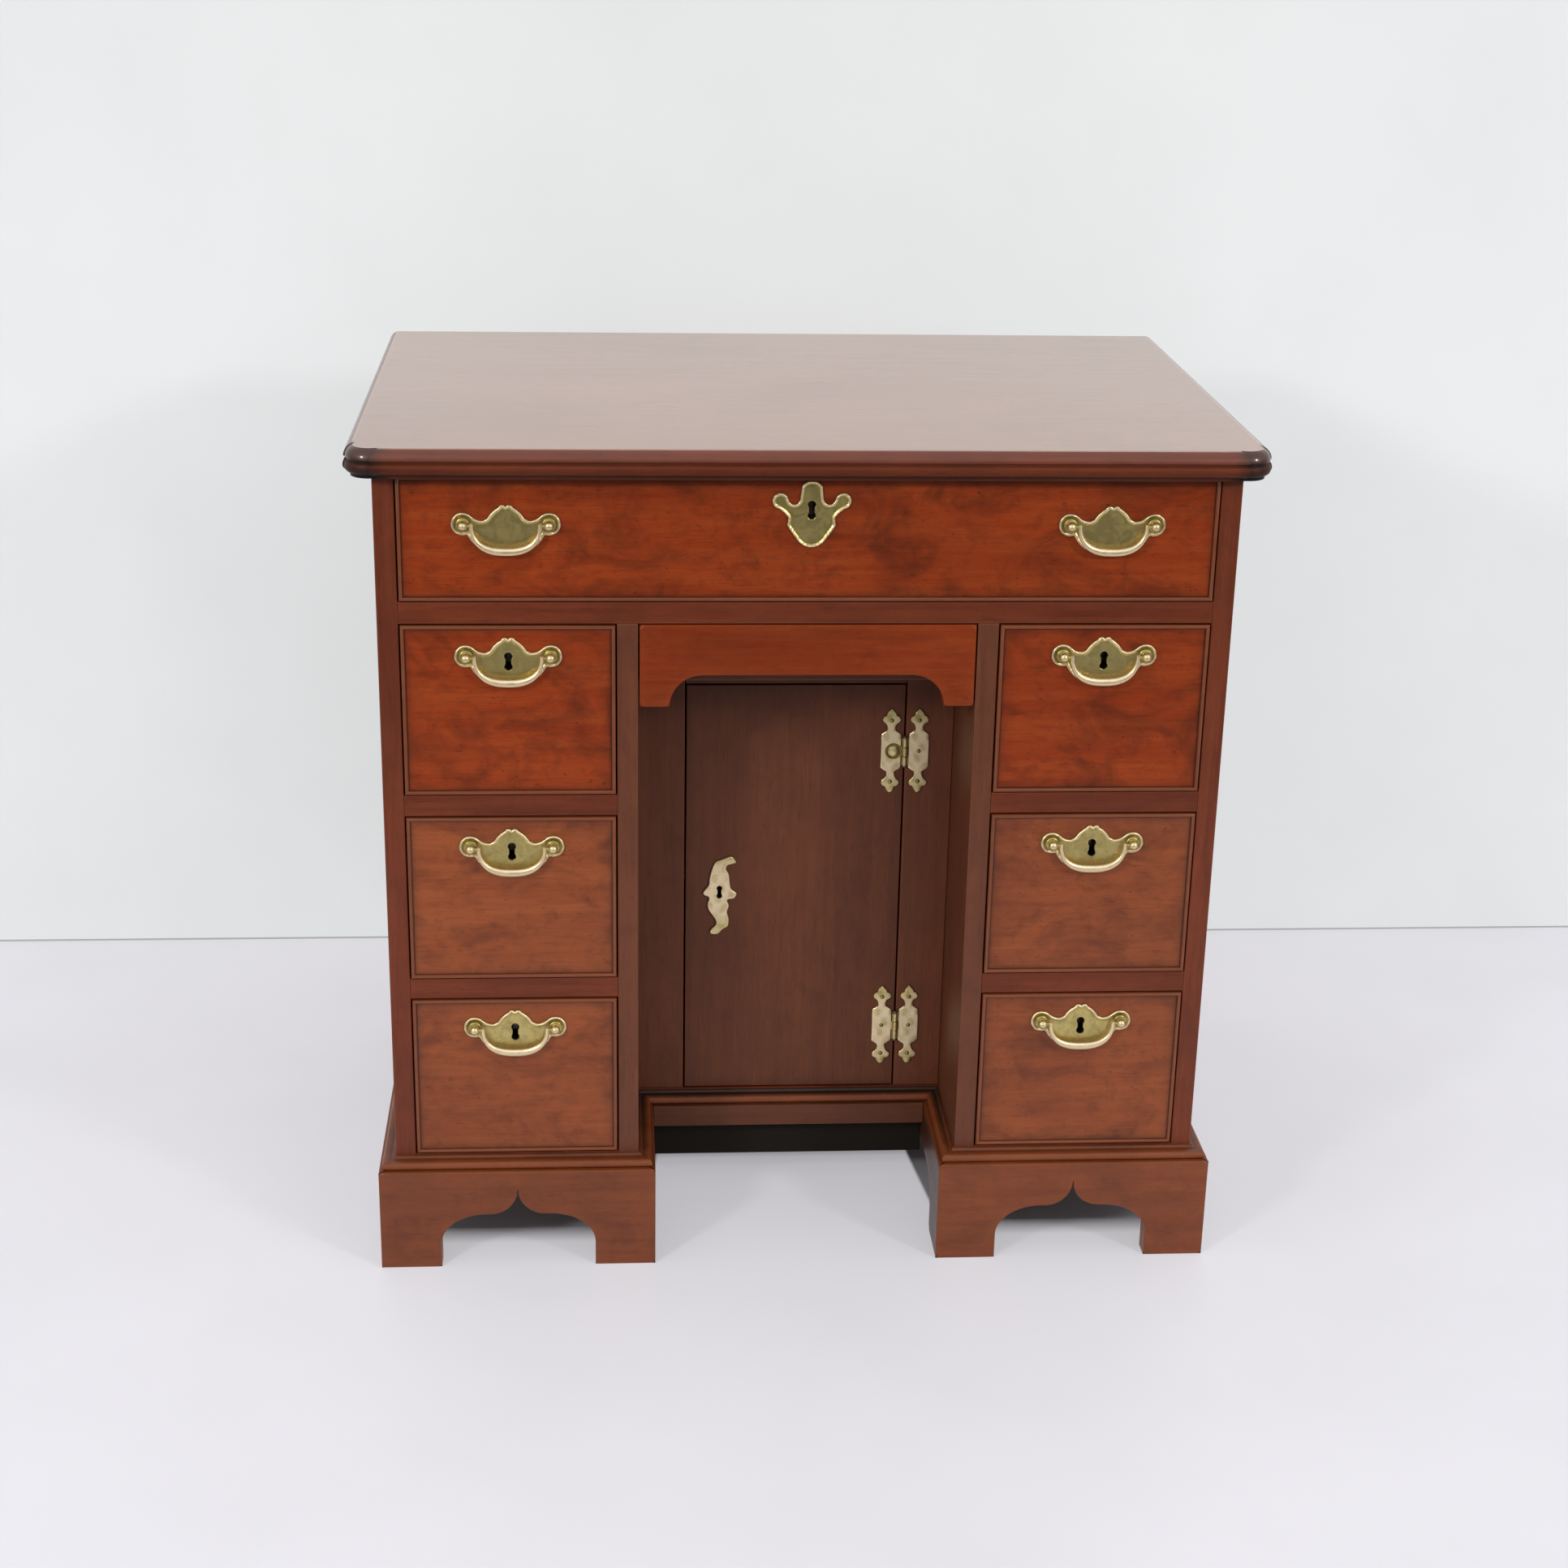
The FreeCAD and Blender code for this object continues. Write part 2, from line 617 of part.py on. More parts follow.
def short_drawers():
    """Two banks of three."""
    for word, side in (("left", LEFT), ("right", RIGHT)):
        low_x, high_x = across(side, bank, inner)
        for level, place_word in enumerate(("lower", "middle", "upper")):
            name = f"{word}_{place_word}_drawer"
            low_z = short_low(level)
            top = low_z + s.short_height
            brass = drawer(name, low_x, high_x, low_z, s.short_height, [("", side * bank_middle)],
                           s.short_handle, top - s.short_handle - s.key_drop, True)
            keep(group(f"{name}_brass", brass), f"{name}_fittings")


def escutcheon_edges():
    """Half the long drawer's key plate, from its top lobe round an ear to its foot."""
    return mirrored((0, 26.4), [
        ((-7.2, 24), (-9.5, 17.5)),
        ((-10.6, 9.4),),
        ((-15, 5.4), (-20.4, 9.6)),
        ((-34.8, 9.6), (-29.4, 1.2)),
        ((-24, -2.8), (-20.6, -7)),
        ((-21.6, -13.5),),
        ((-18, -19.2), (-13.4, -25.4)),
        ((-7.4, -31.6), (0, -33.7)),
    ])


def long_drawer():
    """Full width, with two handles and a key plate of its own."""
    name = "long_drawer"
    top = long_low + s.long_height
    key_level = top - s.long_key
    handles = [("_left", -bank_middle), ("_right", bank_middle)]
    key_round = key_level + s.key_raise
    brass = drawer(name, -inner, inner, long_low, s.long_height, handles, s.long_handle, key_round, False)
    plate = padded(f"{name}_keyplate", "XZ_Plane", escutcheon_edges(), s.plate_thick,
                   (0 * half, front, key_level))
    brass.append(cut(f"{name}_escutcheon", plate, [
        keyhole(f"{name}_key", 0 * half, key_round, front - s.plate_thick, s.plate_thick)]))
    keep(group(f"{name}_brass", brass), f"{name}_fittings")


def apron_drawer():
    """A shallow drawer over the kneehole whose front is the shaped apron, pulled by its lower edge."""
    name = "apron_drawer"
    wide = float(knee - s.drawer_gap)
    top = float(s.apron_opening - s.drawer_gap)
    edge = float(s.apron_lift)
    ear_low = edge - float(s.ear_drop)
    drop = float(s.ear_drop)
    foot = wide - float(s.ear_width)
    turn = drop * (1 - math.sqrt(0.5))
    edges = mirrored((0, top), [
        ((-wide, top),),
        ((-wide, ear_low),),
        ((-foot, ear_low),),
        ((-foot + turn, edge - turn), (-foot + drop, edge)),
        ((0, edge),),
    ])
    apron = padded(f"{name}_apron", "XZ_Plane", edges, s.front_thick, (0 * half, front, soffit_top),
                   reverse=True)
    keep(apron, f"{name}_front")
    linings(name, s.side_gap - knee, knee - s.side_gap, soffit_top + s.run_gap,
            frieze_low - s.lining_drop, front + s.front_thick)


# Case

def case_boards():
    """Sides, kneehole boards, back, rails, dust boards and bottoms."""
    for word, side in (("left", LEFT), ("right", RIGHT)):
        low_x, high_x = across(side, inner, half)
        keep(box(f"side_{word}", (low_x, front, s.plinth_height), (high_x, back, top_low)),
             f"case_side_{word}")
        low_x, high_x = across(side, knee, bank)
        keep(box(f"knee_{word}", (low_x, front, s.plinth_height), (high_x, inside_back, frieze_low)),
             f"kneehole_side_{word}")
    wide = 2 * inner / BACK_BOARDS
    boards = [
        box(f"back_{n}", (n * wide - inner, inside_back, s.plinth_height),
            ((n + 1) * wide - inner - (s.back_joint if n < BACK_BOARDS - 1 else 0 * half), back, top_low))
        for n in range(BACK_BOARDS)
    ]
    keep(group("back_set", boards), "back_boards")
    rail_back = front + s.blade_depth
    rail = box("frieze_bar", (-inner, front, frieze_low), (inner, rail_back, long_low))
    tops = [bolt_mortise(f"frieze_mortise{side}", side * bank_middle, frieze_low) for side in (LEFT, RIGHT)]
    blades = [cut("frieze_rail", rail, tops)]
    dust = [box("frieze_dust", (-inner, rail_back, frieze_low), (inner, inside_back, long_low))]
    bottoms = [box("cupboard_floor", (-knee, recess, s.plinth_height), (knee, inside_back, floor_level))]
    for side in (LEFT, RIGHT):
        low_x, high_x = across(side, bank, inner)
        for level in (1, 2):
            high_z = short_low(level)
            low_z = high_z - s.blade_thick
            bar = box(f"blade_bar{side}{level}", (low_x, front, low_z), (high_x, rail_back, high_z))
            hole = bolt_mortise(f"blade_mortise{side}{level}", side * bank_middle, low_z)
            blades.append(cut(f"blade{side}{level}", bar, [hole]))
            dust.append(box(f"dust{side}{level}", (low_x, rail_back, high_z - s.dust_thick),
                            (high_x, inside_back, high_z)))
        bottoms.append(box(f"bank_floor{side}", (low_x, front, s.plinth_height),
                           (high_x, inside_back, floor_level)))
    keep(group("blade_set", blades), "drawer_rails")
    keep(group("dust_set", dust), "dust_boards")
    keep(group("bottom_set", bottoms), "bottom_boards")


def cupboard():
    """Soffit, face frame, and the shelf on its ledges."""
    soffit_front = front + s.front_thick + s.drawer_gap
    keep(box("soffit", (-knee, soffit_front, soffit_low), (knee, inside_back, soffit_top)), "kneehole_soffit")
    frame_back = recess + s.frame_thick
    frame = [box("head", (-opening_half, recess, door_top), (opening_half, frame_back, soffit_low))]
    ledges = []
    shelf_low = floor_level + s.shelf_height
    shelf_front = frame_back + s.lock_thick + s.lock_thick
    for side in (LEFT, RIGHT):
        low_x, high_x = across(side, opening_half, knee)
        frame.append(box(f"stile{side}", (low_x, recess, floor_level), (high_x, frame_back, soffit_low)))
        low_x, high_x = across(side, knee - s.ledge_size, knee)
        ledges.append(box(f"ledge{side}", (low_x, shelf_front, shelf_low - s.ledge_size),
                          (high_x, inside_back, shelf_low)))
    keep(group("frame_set", frame), "cupboard_frame")
    shelf = box("shelf_board", (-knee, shelf_front, shelf_low),
                (knee, inside_back, shelf_low + s.shelf_thick))
    keep(group("shelf_set", [shelf] + ledges), "cupboard_shelf")


# Base

def moulding_profile():
    """A half-round bead under a small hollow, as (out, up) edges over the plinth."""
    proud = float(s.moulding_proud)
    high = float(s.moulding_high)
    bead = float(s.moulding_bead)
    radius = bead / 2
    neck = proud - bead
    hollow = high - bead
    return outline((0, 0), [
        ((proud - radius, 0),),
        ((proud, radius), (proud - radius, bead)),
        ((neck, bead),),
        ((neck - hollow * 0.71, bead + hollow * 0.29), (neck - hollow, high)),
        ((0, high),),
        ((0, 0),),
    ])


def base_moulding():
    """Lengths round each bank's three faces and along the cupboard front, mitred where they meet."""
    profile = moulding_profile()
    rise = Vector(0, 0, 1)
    low = float(s.plinth_height)
    run = float(s.recess_depth)
    depth = float(s.case_depth)
    y = float(front)
    strips = []
    for side in (LEFT, RIGHT):
        low_x, high_x = (float(v) for v in across(side, knee, half))
        face = Vector(low_x, y, low)
        outer = Vector(side * float(half), y, low)
        reveal = Vector(side * float(knee), y, low)
        faces = [
            ("front", face, Vector(1, 0, 0), Vector(0, -1, 0), ((0, -1), (high_x - low_x, 1))),
            ("outer", outer, Vector(0, 1, 0), Vector(side, 0, 0), ((0, -1), (depth, 0))),
            ("reveal", reveal, Vector(0, 1, 0), Vector(-side, 0, 0), ((0, -1), (run, -1))),
        ]
        for word, start, along, out, ends in faces:
            strips.append(solid(f"moulding_{word}{side}", mitred(profile, start, along, out, rise, ends)))
    start = Vector(-float(knee), float(recess), low)
    ends = ((0, 1), (float(s.knee_width), -1))
    length = mitred(profile, start, Vector(1, 0, 0), Vector(0, -1, 0), rise, ends)
    strips.append(solid("moulding_cupboard", length))
    keep(group("moulding_set", strips), "base_moulding")


def bracket_edges(length, pointed):
    """Outline of a plinth board: two feet, an arch between them and, on a front, a point."""
    foot = float(s.foot_width)
    arch = float(s.arch_height)
    high = float(s.plinth_height)
    wide = float(s.shoulder_wide)
    tall = float(s.shoulder_high)
    middle = length / 2
    turns = [math.radians(90 * n / SHOULDER_STEPS) for n in range(SHOULDER_STEPS + 1)]
    first = [(foot + wide * (1 - math.cos(turn)), arch - tall * (1 - math.sin(turn))) for turn in turns]
    last = [(length - x, z) for x, z in reversed(first)]
    steps = [((foot, 0),), (first[0],), (first[1], first[2]), (first[3], first[4])]
    if pointed:
        rise = float(s.arch_point) - arch
        bend = rise * math.sqrt(0.5)
        steps += [
            ((middle - rise, arch),),
            ((middle - rise + bend, arch + rise - bend), (middle, arch + rise)),
            ((middle + rise - bend, arch + rise - bend), (middle + rise, arch)),
        ]
    steps += [
        (last[0],),
        (last[1], last[2]),
        (last[3], last[4]),
        ((length - foot, 0),),
        ((length, 0),),
        ((length, high),),
        ((0, high),),
        ((0, 0),),
    ]
    return outline((0, 0), steps)


def bracket(length, pointed, first_mitre, last_mitre):
    """A plinth board on its own: length along x, its face at y = 0, its ends mitred or square."""
    wire = Part.Wire([edge.toShape() for edge in bracket_edges(length, pointed)])
    wire.rotate(Vector(), Vector(1, 0, 0), 90)
    thick = float(s.plinth_thick)
    board = Part.Face(wire).extrude(Vector(0, thick, 0))
    plan = [(0, 0), (length, 0), (length - last_mitre * thick, thick), (first_mitre * thick, thick), (0, 0)]
    prism = Part.Face(Part.makePolygon([Vector(px, py, 0) for px, py in plan]))
    return board.common(prism.extrude(Vector(0, 0, float(s.plinth_height))))


def plinths():
    """Three boards under each bank, a rail and a rough bearer under the cupboard, and glue blocks."""
    proud = float(s.plinth_proud)
    y = float(front) - proud
    outer = float(half) + proud
    reveal = float(knee) - proud
    depth = float(s.case_depth) + proud
    fronts = []
    sides = []
    for side in (LEFT, RIGHT):
        low_x = min(side * outer, side * reveal)
        fronts.append(solid(f"plinth_front{side}", bracket(outer - reveal, True, 1, 1), (low_x, y, 0)))
        for x, faces in ((side * outer, side), (side * reveal, -side)):
            if faces > 0:
                piece = solid(f"plinth_side{side}{faces}", bracket(depth, False, 1, 0))
                piece.Placement = Placement(Vector(x, y, 0), Rotation(Vector(0, 0, 1), 90))
            else:
                piece = solid(f"plinth_side{side}{faces}", bracket(depth, False, 0, 1))
                piece.Placement = Placement(Vector(x, y + depth, 0), Rotation(Vector(0, 0, 1), -90))
            sides.append(piece)
    keep(group("plinth_front_set", fronts), "plinth_fronts")
    keep(group("plinth_side_set", sides), "plinth_sides")
    rail_front = recess - s.plinth_proud
    rail_back = rail_front + s.plinth_thick
    reach = knee - s.plinth_proud
    rail = box("cupboard_rail", (-reach, rail_front, s.plinth_height - s.cupboard_plinth),
               (reach, rail_back, s.plinth_height))
    bearer = box("rough_bearer", (-reach, rail_back, s.plinth_height - s.bearer_drop),
                 (reach, rail_back + s.plinth_thick, s.plinth_height))
    keep(group("cupboard_plinth_set", [rail, bearer]), "cupboard_plinth_rail")
    blocks = []
    inset = s.plinth_thick - s.plinth_proud
    for side in (LEFT, RIGHT):
        for n, (near, far) in enumerate(((half - inset - s.block_size, half - inset),
                                         (knee + inset, knee + inset + s.block_size))):
            low_x, high_x = across(side, near, far)
            for end, low_y in (("front", front + inset), ("rear", back - s.block_size)):
                blocks.append(box(f"block{side}{n}{end}", (low_x, low_y, s.block_lift),
                                  (high_x, low_y + s.block_size, s.plinth_height)))
    keep(group("block_set", blocks), "glue_blocks")


# Cupboard door and hinges

def scroll_plate():
    """The door's key plate: an S-scroll cut from sheet, round its keyhole."""
    line = [
        (10.9, 37.4), (16.5, 31), (12.6, 29.2), (7.6, 27.6), (6.8, 23.6), (9.6, 17.8), (10.4, 9.8),
        (12.1, 2.9), (17.1, -1.7), (14.4, -6.9), (8, -8.5), (9.8, -14.4), (8, -21.3), (9.8, -28.2),
        (9, -36.2), (3.7, -39.7), (-1.3, -44.8), (-8.6, -44.3), (-8.8, -39.9), (-3.6, -33.8), (-5, -27.8),
        (-10.8, -19), (-12, -12), (-10.6, -6), (-15.7, -2.9), (-16, 0.6), (-11, 7.5), (-10.3, 14.4),
        (-7.8, 24.7), (-4.7, 31.4), (1.5, 34),
    ]
    curve = Part.BSplineCurve()
    curve.interpolate([Vector(px, 0, pz) for px, pz in line], PeriodicFlag=True)
    return Part.Face(Part.Wire([curve.toShape()])).extrude(Vector(0, -float(s.plate_thick), 0))


def leaf_edges():
    """Half a hinge leaf: a straight body with a cut finial at each end."""
    half_body = s.leaf_body / 2
    wide = s.leaf_width / 2
    finial = s.leaf_finial
    tip = half_body + finial
    point = [
        ((-wide * 0.28, half_body + finial * 0.8), (-wide * 0.82, half_body + finial * 0.58)),
        ((-wide * 0.52, half_body + finial * 0.44), (-wide * 0.4, half_body + finial * 0.28)),
        ((-wide * 0.86, half_body + finial * 0.16), (-wide, half_body)),
    ]
    foot = [
        ((-wide * 0.86, -half_body - finial * 0.16), (-wide * 0.4, -half_body - finial * 0.28)),
        ((-wide * 0.52, -half_body - finial * 0.44), (-wide * 0.82, -half_body - finial * 0.58)),
        ((-wide * 0.28, -half_body - finial * 0.8), (0, -tip)),
    ]
    steps = point + [((-wide, -half_body),)] + foot
    return mirrored((0, tip), steps)


def hinge_leaf(name, axis_x, axis_y, z, faces, turns):
    """A leaf on the wood with its own knuckles: the door's has the middle one, the frame's the outer
    two. Faces is the side of the pin that it lies on."""
    knuckle = s.leaf_body / KNUCKLES
    clear = s.knuckle_radius + s.knuckle_gap
    middle = axis_x + faces * (clear + s.leaf_width / 2)
    wood = axis_y + s.knuckle_radius + s.knuckle_lift
    leaf = padded(f"{name}_plate", "XZ_Plane", leaf_edges(), s.leaf_thick, (middle, wood, z))
    parts = [leaf]
    for n in ((1,) if turns else (0, 2)):
        low = z - s.leaf_body / 2 + n * knuckle + s.knuckle_gap / 2
        long = knuckle - s.knuckle_gap
        parts.append(rod(f"{name}_knuckle{n}", "z", (axis_x, axis_y, low), long, s.knuckle_radius))
        tab_x = (axis_x, axis_x + clear) if faces > 0 else (axis_x - clear, axis_x)
        parts.append(box(f"{name}_tab{n}", (tab_x[0], wood - s.leaf_thick, low),
                         (tab_x[1], wood - s.knuckle_lift, low + long)))
    bore = s.pin_radius + s.pin_gap if turns else s.pin_radius
    hole = rod(f"{name}_bore", "z", (axis_x, axis_y, z - s.leaf_body / 2), s.leaf_body, bore)
    return cut(f"{name}_bored", fuse(f"{name}_whole", parts), [hole])


def cupboard_door():
    """The door, its key plate and rim lock, and two surface hinges on its right."""
    edge = opening_half - s.door_gap
    low_z = floor_level + s.door_gap
    high_z = door_top - s.door_gap
    key_x = s.door_key - edge
    key_z = (low_z + high_z) / 2
    slab = box("door_board", (-edge, recess, low_z), (edge, recess + s.door_thick, high_z))
    key_round = key_z + s.key_raise
    key_way = keyhole("door_keyway", key_x, key_round, recess, s.door_thick)
    keep(cut("door_cut", slab, [key_way]), "cupboard_door")
    plate = solid("door_scroll", scroll_plate(), (key_x, recess, key_z))
    hole = keyhole("door_key", key_x, key_round, recess - s.plate_thick, s.plate_thick)
    brass = [cut("door_keyplate", plate, [hole])]
    lock_low = s.rim_inset - edge
    lock_back = recess + s.door_thick
    case = box("rim_case", (lock_low, lock_back, key_z - s.lock_height / 2),
               (lock_low + s.lock_width, lock_back + s.lock_thick, key_z + s.lock_height / 2))
    bolt_y = recess + s.frame_thick + s.rim_gap
    bolt_low = (lock_low, bolt_y, key_z - s.bolt_width / 2)
    bolt_high = (lock_low + s.bolt_length, bolt_y + s.bolt_thick, key_z + s.bolt_width / 2)
    slot = box("rim_slot", tuple(v - s.bolt_gap for v in bolt_low), tuple(v + s.bolt_gap for v in bolt_high))
    brass.append(cut("rim_lock", case, [slot]))
    keep(box("rim_bolt", bolt_low, bolt_high), "door_bolt")
    axis_x = edge + s.door_gap / 2
    axis_y = recess - s.knuckle_radius - s.knuckle_lift
    fixed = []
    pins = []
    for n, z in enumerate((floor_level + s.hinge_inset, door_top - s.hinge_inset)):
        brass.append(hinge_leaf(f"door_leaf{n}", axis_x, axis_y, z, LEFT, True))
        fixed.append(hinge_leaf(f"frame_leaf{n}", axis_x, axis_y, z, RIGHT, False))
        length = s.leaf_body + 2 * s.pin_head
        low = z - length / 2
        shank = rod(f"pin_shank{n}", "z", (axis_x, axis_y, low), length, s.pin_radius)
        caps = [rod(f"pin_cap{n}{word}", "z", (axis_x, axis_y, at), s.pin_head, s.knuckle_radius * 0.8)
                for word, at in (("low", low), ("high", z + s.leaf_body / 2))]
        pins.append(fuse(f"pin{n}", [shank] + caps))
    keep(group("door_brass", brass), "door_fittings")
    keep(group("frame_leaf_set", fixed), "hinge_frame_leaves")
    keep(group("pin_set", pins), "hinge_pins")


desk_top()
case_boards()
cupboard()
base_moulding()
plinths()
cupboard_door()
long_drawer()
short_drawers()
apron_drawer()
doc.recompute()

for piece in doc.Objects:
    if "Invalid" in piece.State or "Error" in piece.State:
        raise RuntimeError(f"{piece.Label} did not build: {piece.State}")
for piece in nodes:
    if piece.Shape.isNull() or not piece.Shape.isValid():
        raise RuntimeError(f"{piece.Label} has no valid shape")

os.makedirs("parts", exist_ok=True)
for piece in nodes:
    piece.Shape.exportStep(f"parts/{piece.Label}.step")
print(f"{len(nodes)} nodes, {sum(len(piece.Shape.Solids) for piece in nodes)} solids")
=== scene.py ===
"""Looks of the kneehole desk: polished and waxed mahogany, oak linings, aged brass, and the stage
it stands on. Metres, +Z up, the front towards -Y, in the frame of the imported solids."""

import math

import bmesh
import bpy
import numpy as np
from bpy.props import FloatProperty, FloatVectorProperty, PointerProperty
from mathutils import Matrix, Vector
from mathutils.geometry import delaunay_2d_cdt


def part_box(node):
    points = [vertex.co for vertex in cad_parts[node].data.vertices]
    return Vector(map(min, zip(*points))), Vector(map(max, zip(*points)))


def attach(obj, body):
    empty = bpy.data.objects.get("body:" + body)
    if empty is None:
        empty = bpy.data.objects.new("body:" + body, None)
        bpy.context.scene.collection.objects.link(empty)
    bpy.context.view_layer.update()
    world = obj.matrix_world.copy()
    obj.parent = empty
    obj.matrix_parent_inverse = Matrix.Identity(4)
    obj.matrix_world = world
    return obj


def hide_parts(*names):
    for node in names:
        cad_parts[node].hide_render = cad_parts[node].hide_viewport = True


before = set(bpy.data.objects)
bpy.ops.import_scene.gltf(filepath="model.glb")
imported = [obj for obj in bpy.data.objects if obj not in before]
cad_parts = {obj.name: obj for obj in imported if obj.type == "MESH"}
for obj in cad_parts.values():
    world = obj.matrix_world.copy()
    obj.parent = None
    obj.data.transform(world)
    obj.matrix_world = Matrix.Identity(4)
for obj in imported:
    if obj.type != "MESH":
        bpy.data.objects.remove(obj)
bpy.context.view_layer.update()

bl_info = {
    "name": "Kneehole desk",
    "version": (1, 0, 0),
    "blender": (4, 5, 0),
    "location": "View3D > Sidebar > Desk",
    "description": "Dresses the solids of a kneehole desk in wood and brass",
    "category": "Object",
}

MM = 0.001

# Planes and levels of the case, read from the solids where one solid gives them
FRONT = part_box("case_side_left")[0].y
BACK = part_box("case_side_left")[1].y
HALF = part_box("case_side_right")[1].x
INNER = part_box("case_side_right")[0].x
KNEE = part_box("kneehole_side_right")[0].x
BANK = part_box("kneehole_side_right")[1].x
TOP_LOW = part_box("desk_top")[0].z
TOP_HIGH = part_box("desk_top")[1].z
PLINTH_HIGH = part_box("plinth_fronts")[1].z
BANK_MIDDLE = (BANK + INNER) / 2
BLADE = 20 * MM
RAIL_DEEP = 60 * MM
RAIL_ROUND = 0.8 * MM
BACK_COUNT = 6
BACK_GAP = 1.0 * MM
SHORT_HIGH = 161.5 * MM
LONG_HIGH = 115 * MM
APRON_HIGH = 50 * MM
BANK_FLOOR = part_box("bottom_boards")[1].z
FRIEZE = BANK_FLOOR + 3 * SHORT_HIGH + 2 * BLADE
LONG_LOW = FRIEZE + BLADE
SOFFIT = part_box("kneehole_soffit")[1].z
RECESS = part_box("cupboard_frame")[0].y
DRAWER_GAP = 1.2 * MM
FRONT_THICK = 20 * MM
BEAD_WIDE = 3.5 * MM
BEAD_PROUD = 2.5 * MM
BEAD_DEEP = 8.5 * MM
POST_SPAN = 75 * MM
POST_REACH = 8 * MM
SHORT_POSTS = 29.5 * MM
LONG_POSTS = 44 * MM
LONG_KEY = 31 * MM
SIDES = (("left", -1), ("right", 1))
OUT = (0, -1, 0)
ACROSS = (1, 0, 0)
UP = (0, 0, 1)
LEVELS = ("lower", "middle", "upper")


def linear(red, green, blue):
    """A written colour of 0 to 255 as linear light."""
    written = np.array([red, green, blue]) / 255
    return tuple(np.where(written <= 0.04045, written / 12.92, ((written + 0.055) / 1.055) ** 2.4))


# Settings that a user would change

def colour(name, description, red, green, blue):
    """A colour setting with its default as written in 0 to 255."""
    return FloatVectorProperty(name=name, description=description, subtype="COLOR", size=3, min=0, max=1,
                               default=linear(red, green, blue))


def length(name, description, default):
    """A length setting in metres."""
    return FloatProperty(name=name, description=description, default=default, min=0, unit="LENGTH")


class DeskWoods(bpy.types.PropertyGroup):
    """Colours of the woods."""

    front_dark: colour("Drawer dark", "Dark figure of the upper drawer fronts", 66, 25, 9)
    front_mid: colour("Drawer middle", "Ground of the upper drawer fronts", 138, 45, 10)
    front_light: colour("Drawer light", "Light figure of the upper drawer fronts", 158, 68, 22)
    low_dark: colour("Lower drawer dark", "Dark figure of the lower drawer fronts", 70, 29, 13)
    low_mid: colour("Lower drawer middle", "Ground of the lower drawer fronts", 130, 60, 25)
    low_light: colour("Lower drawer light", "Light figure of the lower drawer fronts", 154, 80, 38)
    case_dark: colour("Case dark", "Dark grain of the case", 50, 20, 10)
    case_mid: colour("Case middle", "Ground of the case", 93, 36, 14)
    case_light: colour("Case light", "Light grain of the case", 120, 54, 26)
    knee_dark: colour("Kneehole dark", "Dark grain inside the kneehole", 50, 25, 15)
    knee_mid: colour("Kneehole middle", "Ground inside the kneehole", 93, 48, 27)
    knee_light: colour("Kneehole light", "Light grain inside the kneehole", 110, 60, 36)
    top_dark: colour("Top dark", "Dark grain of the top", 118, 76, 54)
    top_mid: colour("Top middle", "Ground of the top", 152, 106, 80)
    top_light: colour("Top light", "Light grain of the top", 174, 128, 100)
    # The bearer's near-black colour is painted shade under the cupboard.
    bearer_shade: colour("Bearer shade", "Rough bearer under the cupboard", 26, 21, 16)
    oak: colour("Oak", "Drawer linings and shelf", 168, 126, 80)
    deal: colour("Deal", "Back boards and dust boards", 140, 100, 62)


class DeskMetals(bpy.types.PropertyGroup):
    """Colours of the metals."""

    brass_rim: colour("Brass rim", "Rubbed brass on raised rims", 246, 224, 190)
    brass_field: colour("Brass field", "Brass in the dished fields", 190, 172, 102)
    brass_tarnish: colour("Brass tarnish", "Brown tarnish in the hollows", 86, 73, 36)
    iron: colour("Iron", "Lock bolts and pins", 120, 116, 108)


class DeskEdges(bpy.types.PropertyGroup):
    """Small sizes of the finish."""

    case_round: length("Case rounding", "Rounding of the case's edges", 1.2 * MM)
    lining_round: length("Lining rounding", "Rounding of the drawer linings", 1.0 * MM)
    rim_high: length("Rim height", "Raised rim of the brass plates", 2.5 * MM)
    field_high: length("Field height", "Dished field of the brass plates", 1.2 * MM)


class DeskStage(bpy.types.PropertyGroup):
    """Floor, wall, lamps and camera."""

    floor: colour("Floor", "Colour of the floor", 231, 229, 234)
    wall: colour("Wall", "Colour of the wall", 235, 237, 237)
    key_power: FloatProperty(name="Key lamp", description="Power of the lamp at the front left",
                             default=37, min=0, unit="POWER")
    fill_power: FloatProperty(name="Fill lamp", description="Power of the lamp at the front right",
                              default=33, min=0, unit="POWER")
    sky: FloatProperty(name="Room light", description="Strength of the light from overhead and around",
                       default=0.93, min=0)
    lens: FloatProperty(name="Lens", description="Focal length on a 36 mm sensor",
                        default=59.41, min=1, subtype="DISTANCE_CAMERA")


# Surfaces worked out as whole arrays

def quads(rows, columns, wrap_rows=False, wrap_columns=False):
    """Corner indices of the cells of a grid of points, row by row."""
    row = np.arange(rows if wrap_rows else rows - 1)[:, None]
    column = np.arange(columns if wrap_columns else columns - 1)[None, :]
    below = (row + 1) % rows
    beside = (column + 1) % columns
    here, there = row * columns, below * columns
    corners = (here + column, here + beside, there + beside, there + column)
    return np.stack(corners, axis=-1).reshape(-1, 4)


def ends(rows, columns):
    """The first and the last row of a grid of points, as two faces that close it."""
    return [np.arange(columns)[::-1], np.arange(columns) + (rows - 1) * columns]


class Shape:
    """Points, faces, and a value of wear for each point, gathered from several surfaces. The value also
    carries
    painted light: painted highlights above zero and painted shade below zero.
    """

    def __init__(self):
        self.points = []
        self.faces = []
        self.wear = []
        self.count = 0

    def add(self, points, faces, wear, caps=()):
        """Takes a surface: its points, its faces, and rows of points that close it."""
        points, faces, wear = weld(np.reshape(points, (-1, 3)), [*faces, *caps], np.ravel(wear))
        self.points.append(points)
        self.wear.append(wear)
        self.faces += [[i + self.count for i in face] for face in faces]
        self.count += len(points)
        return self


SAME_PLACE = 1e-7
NO_LENGTH = 1e-9
SLIVER = 1e-11


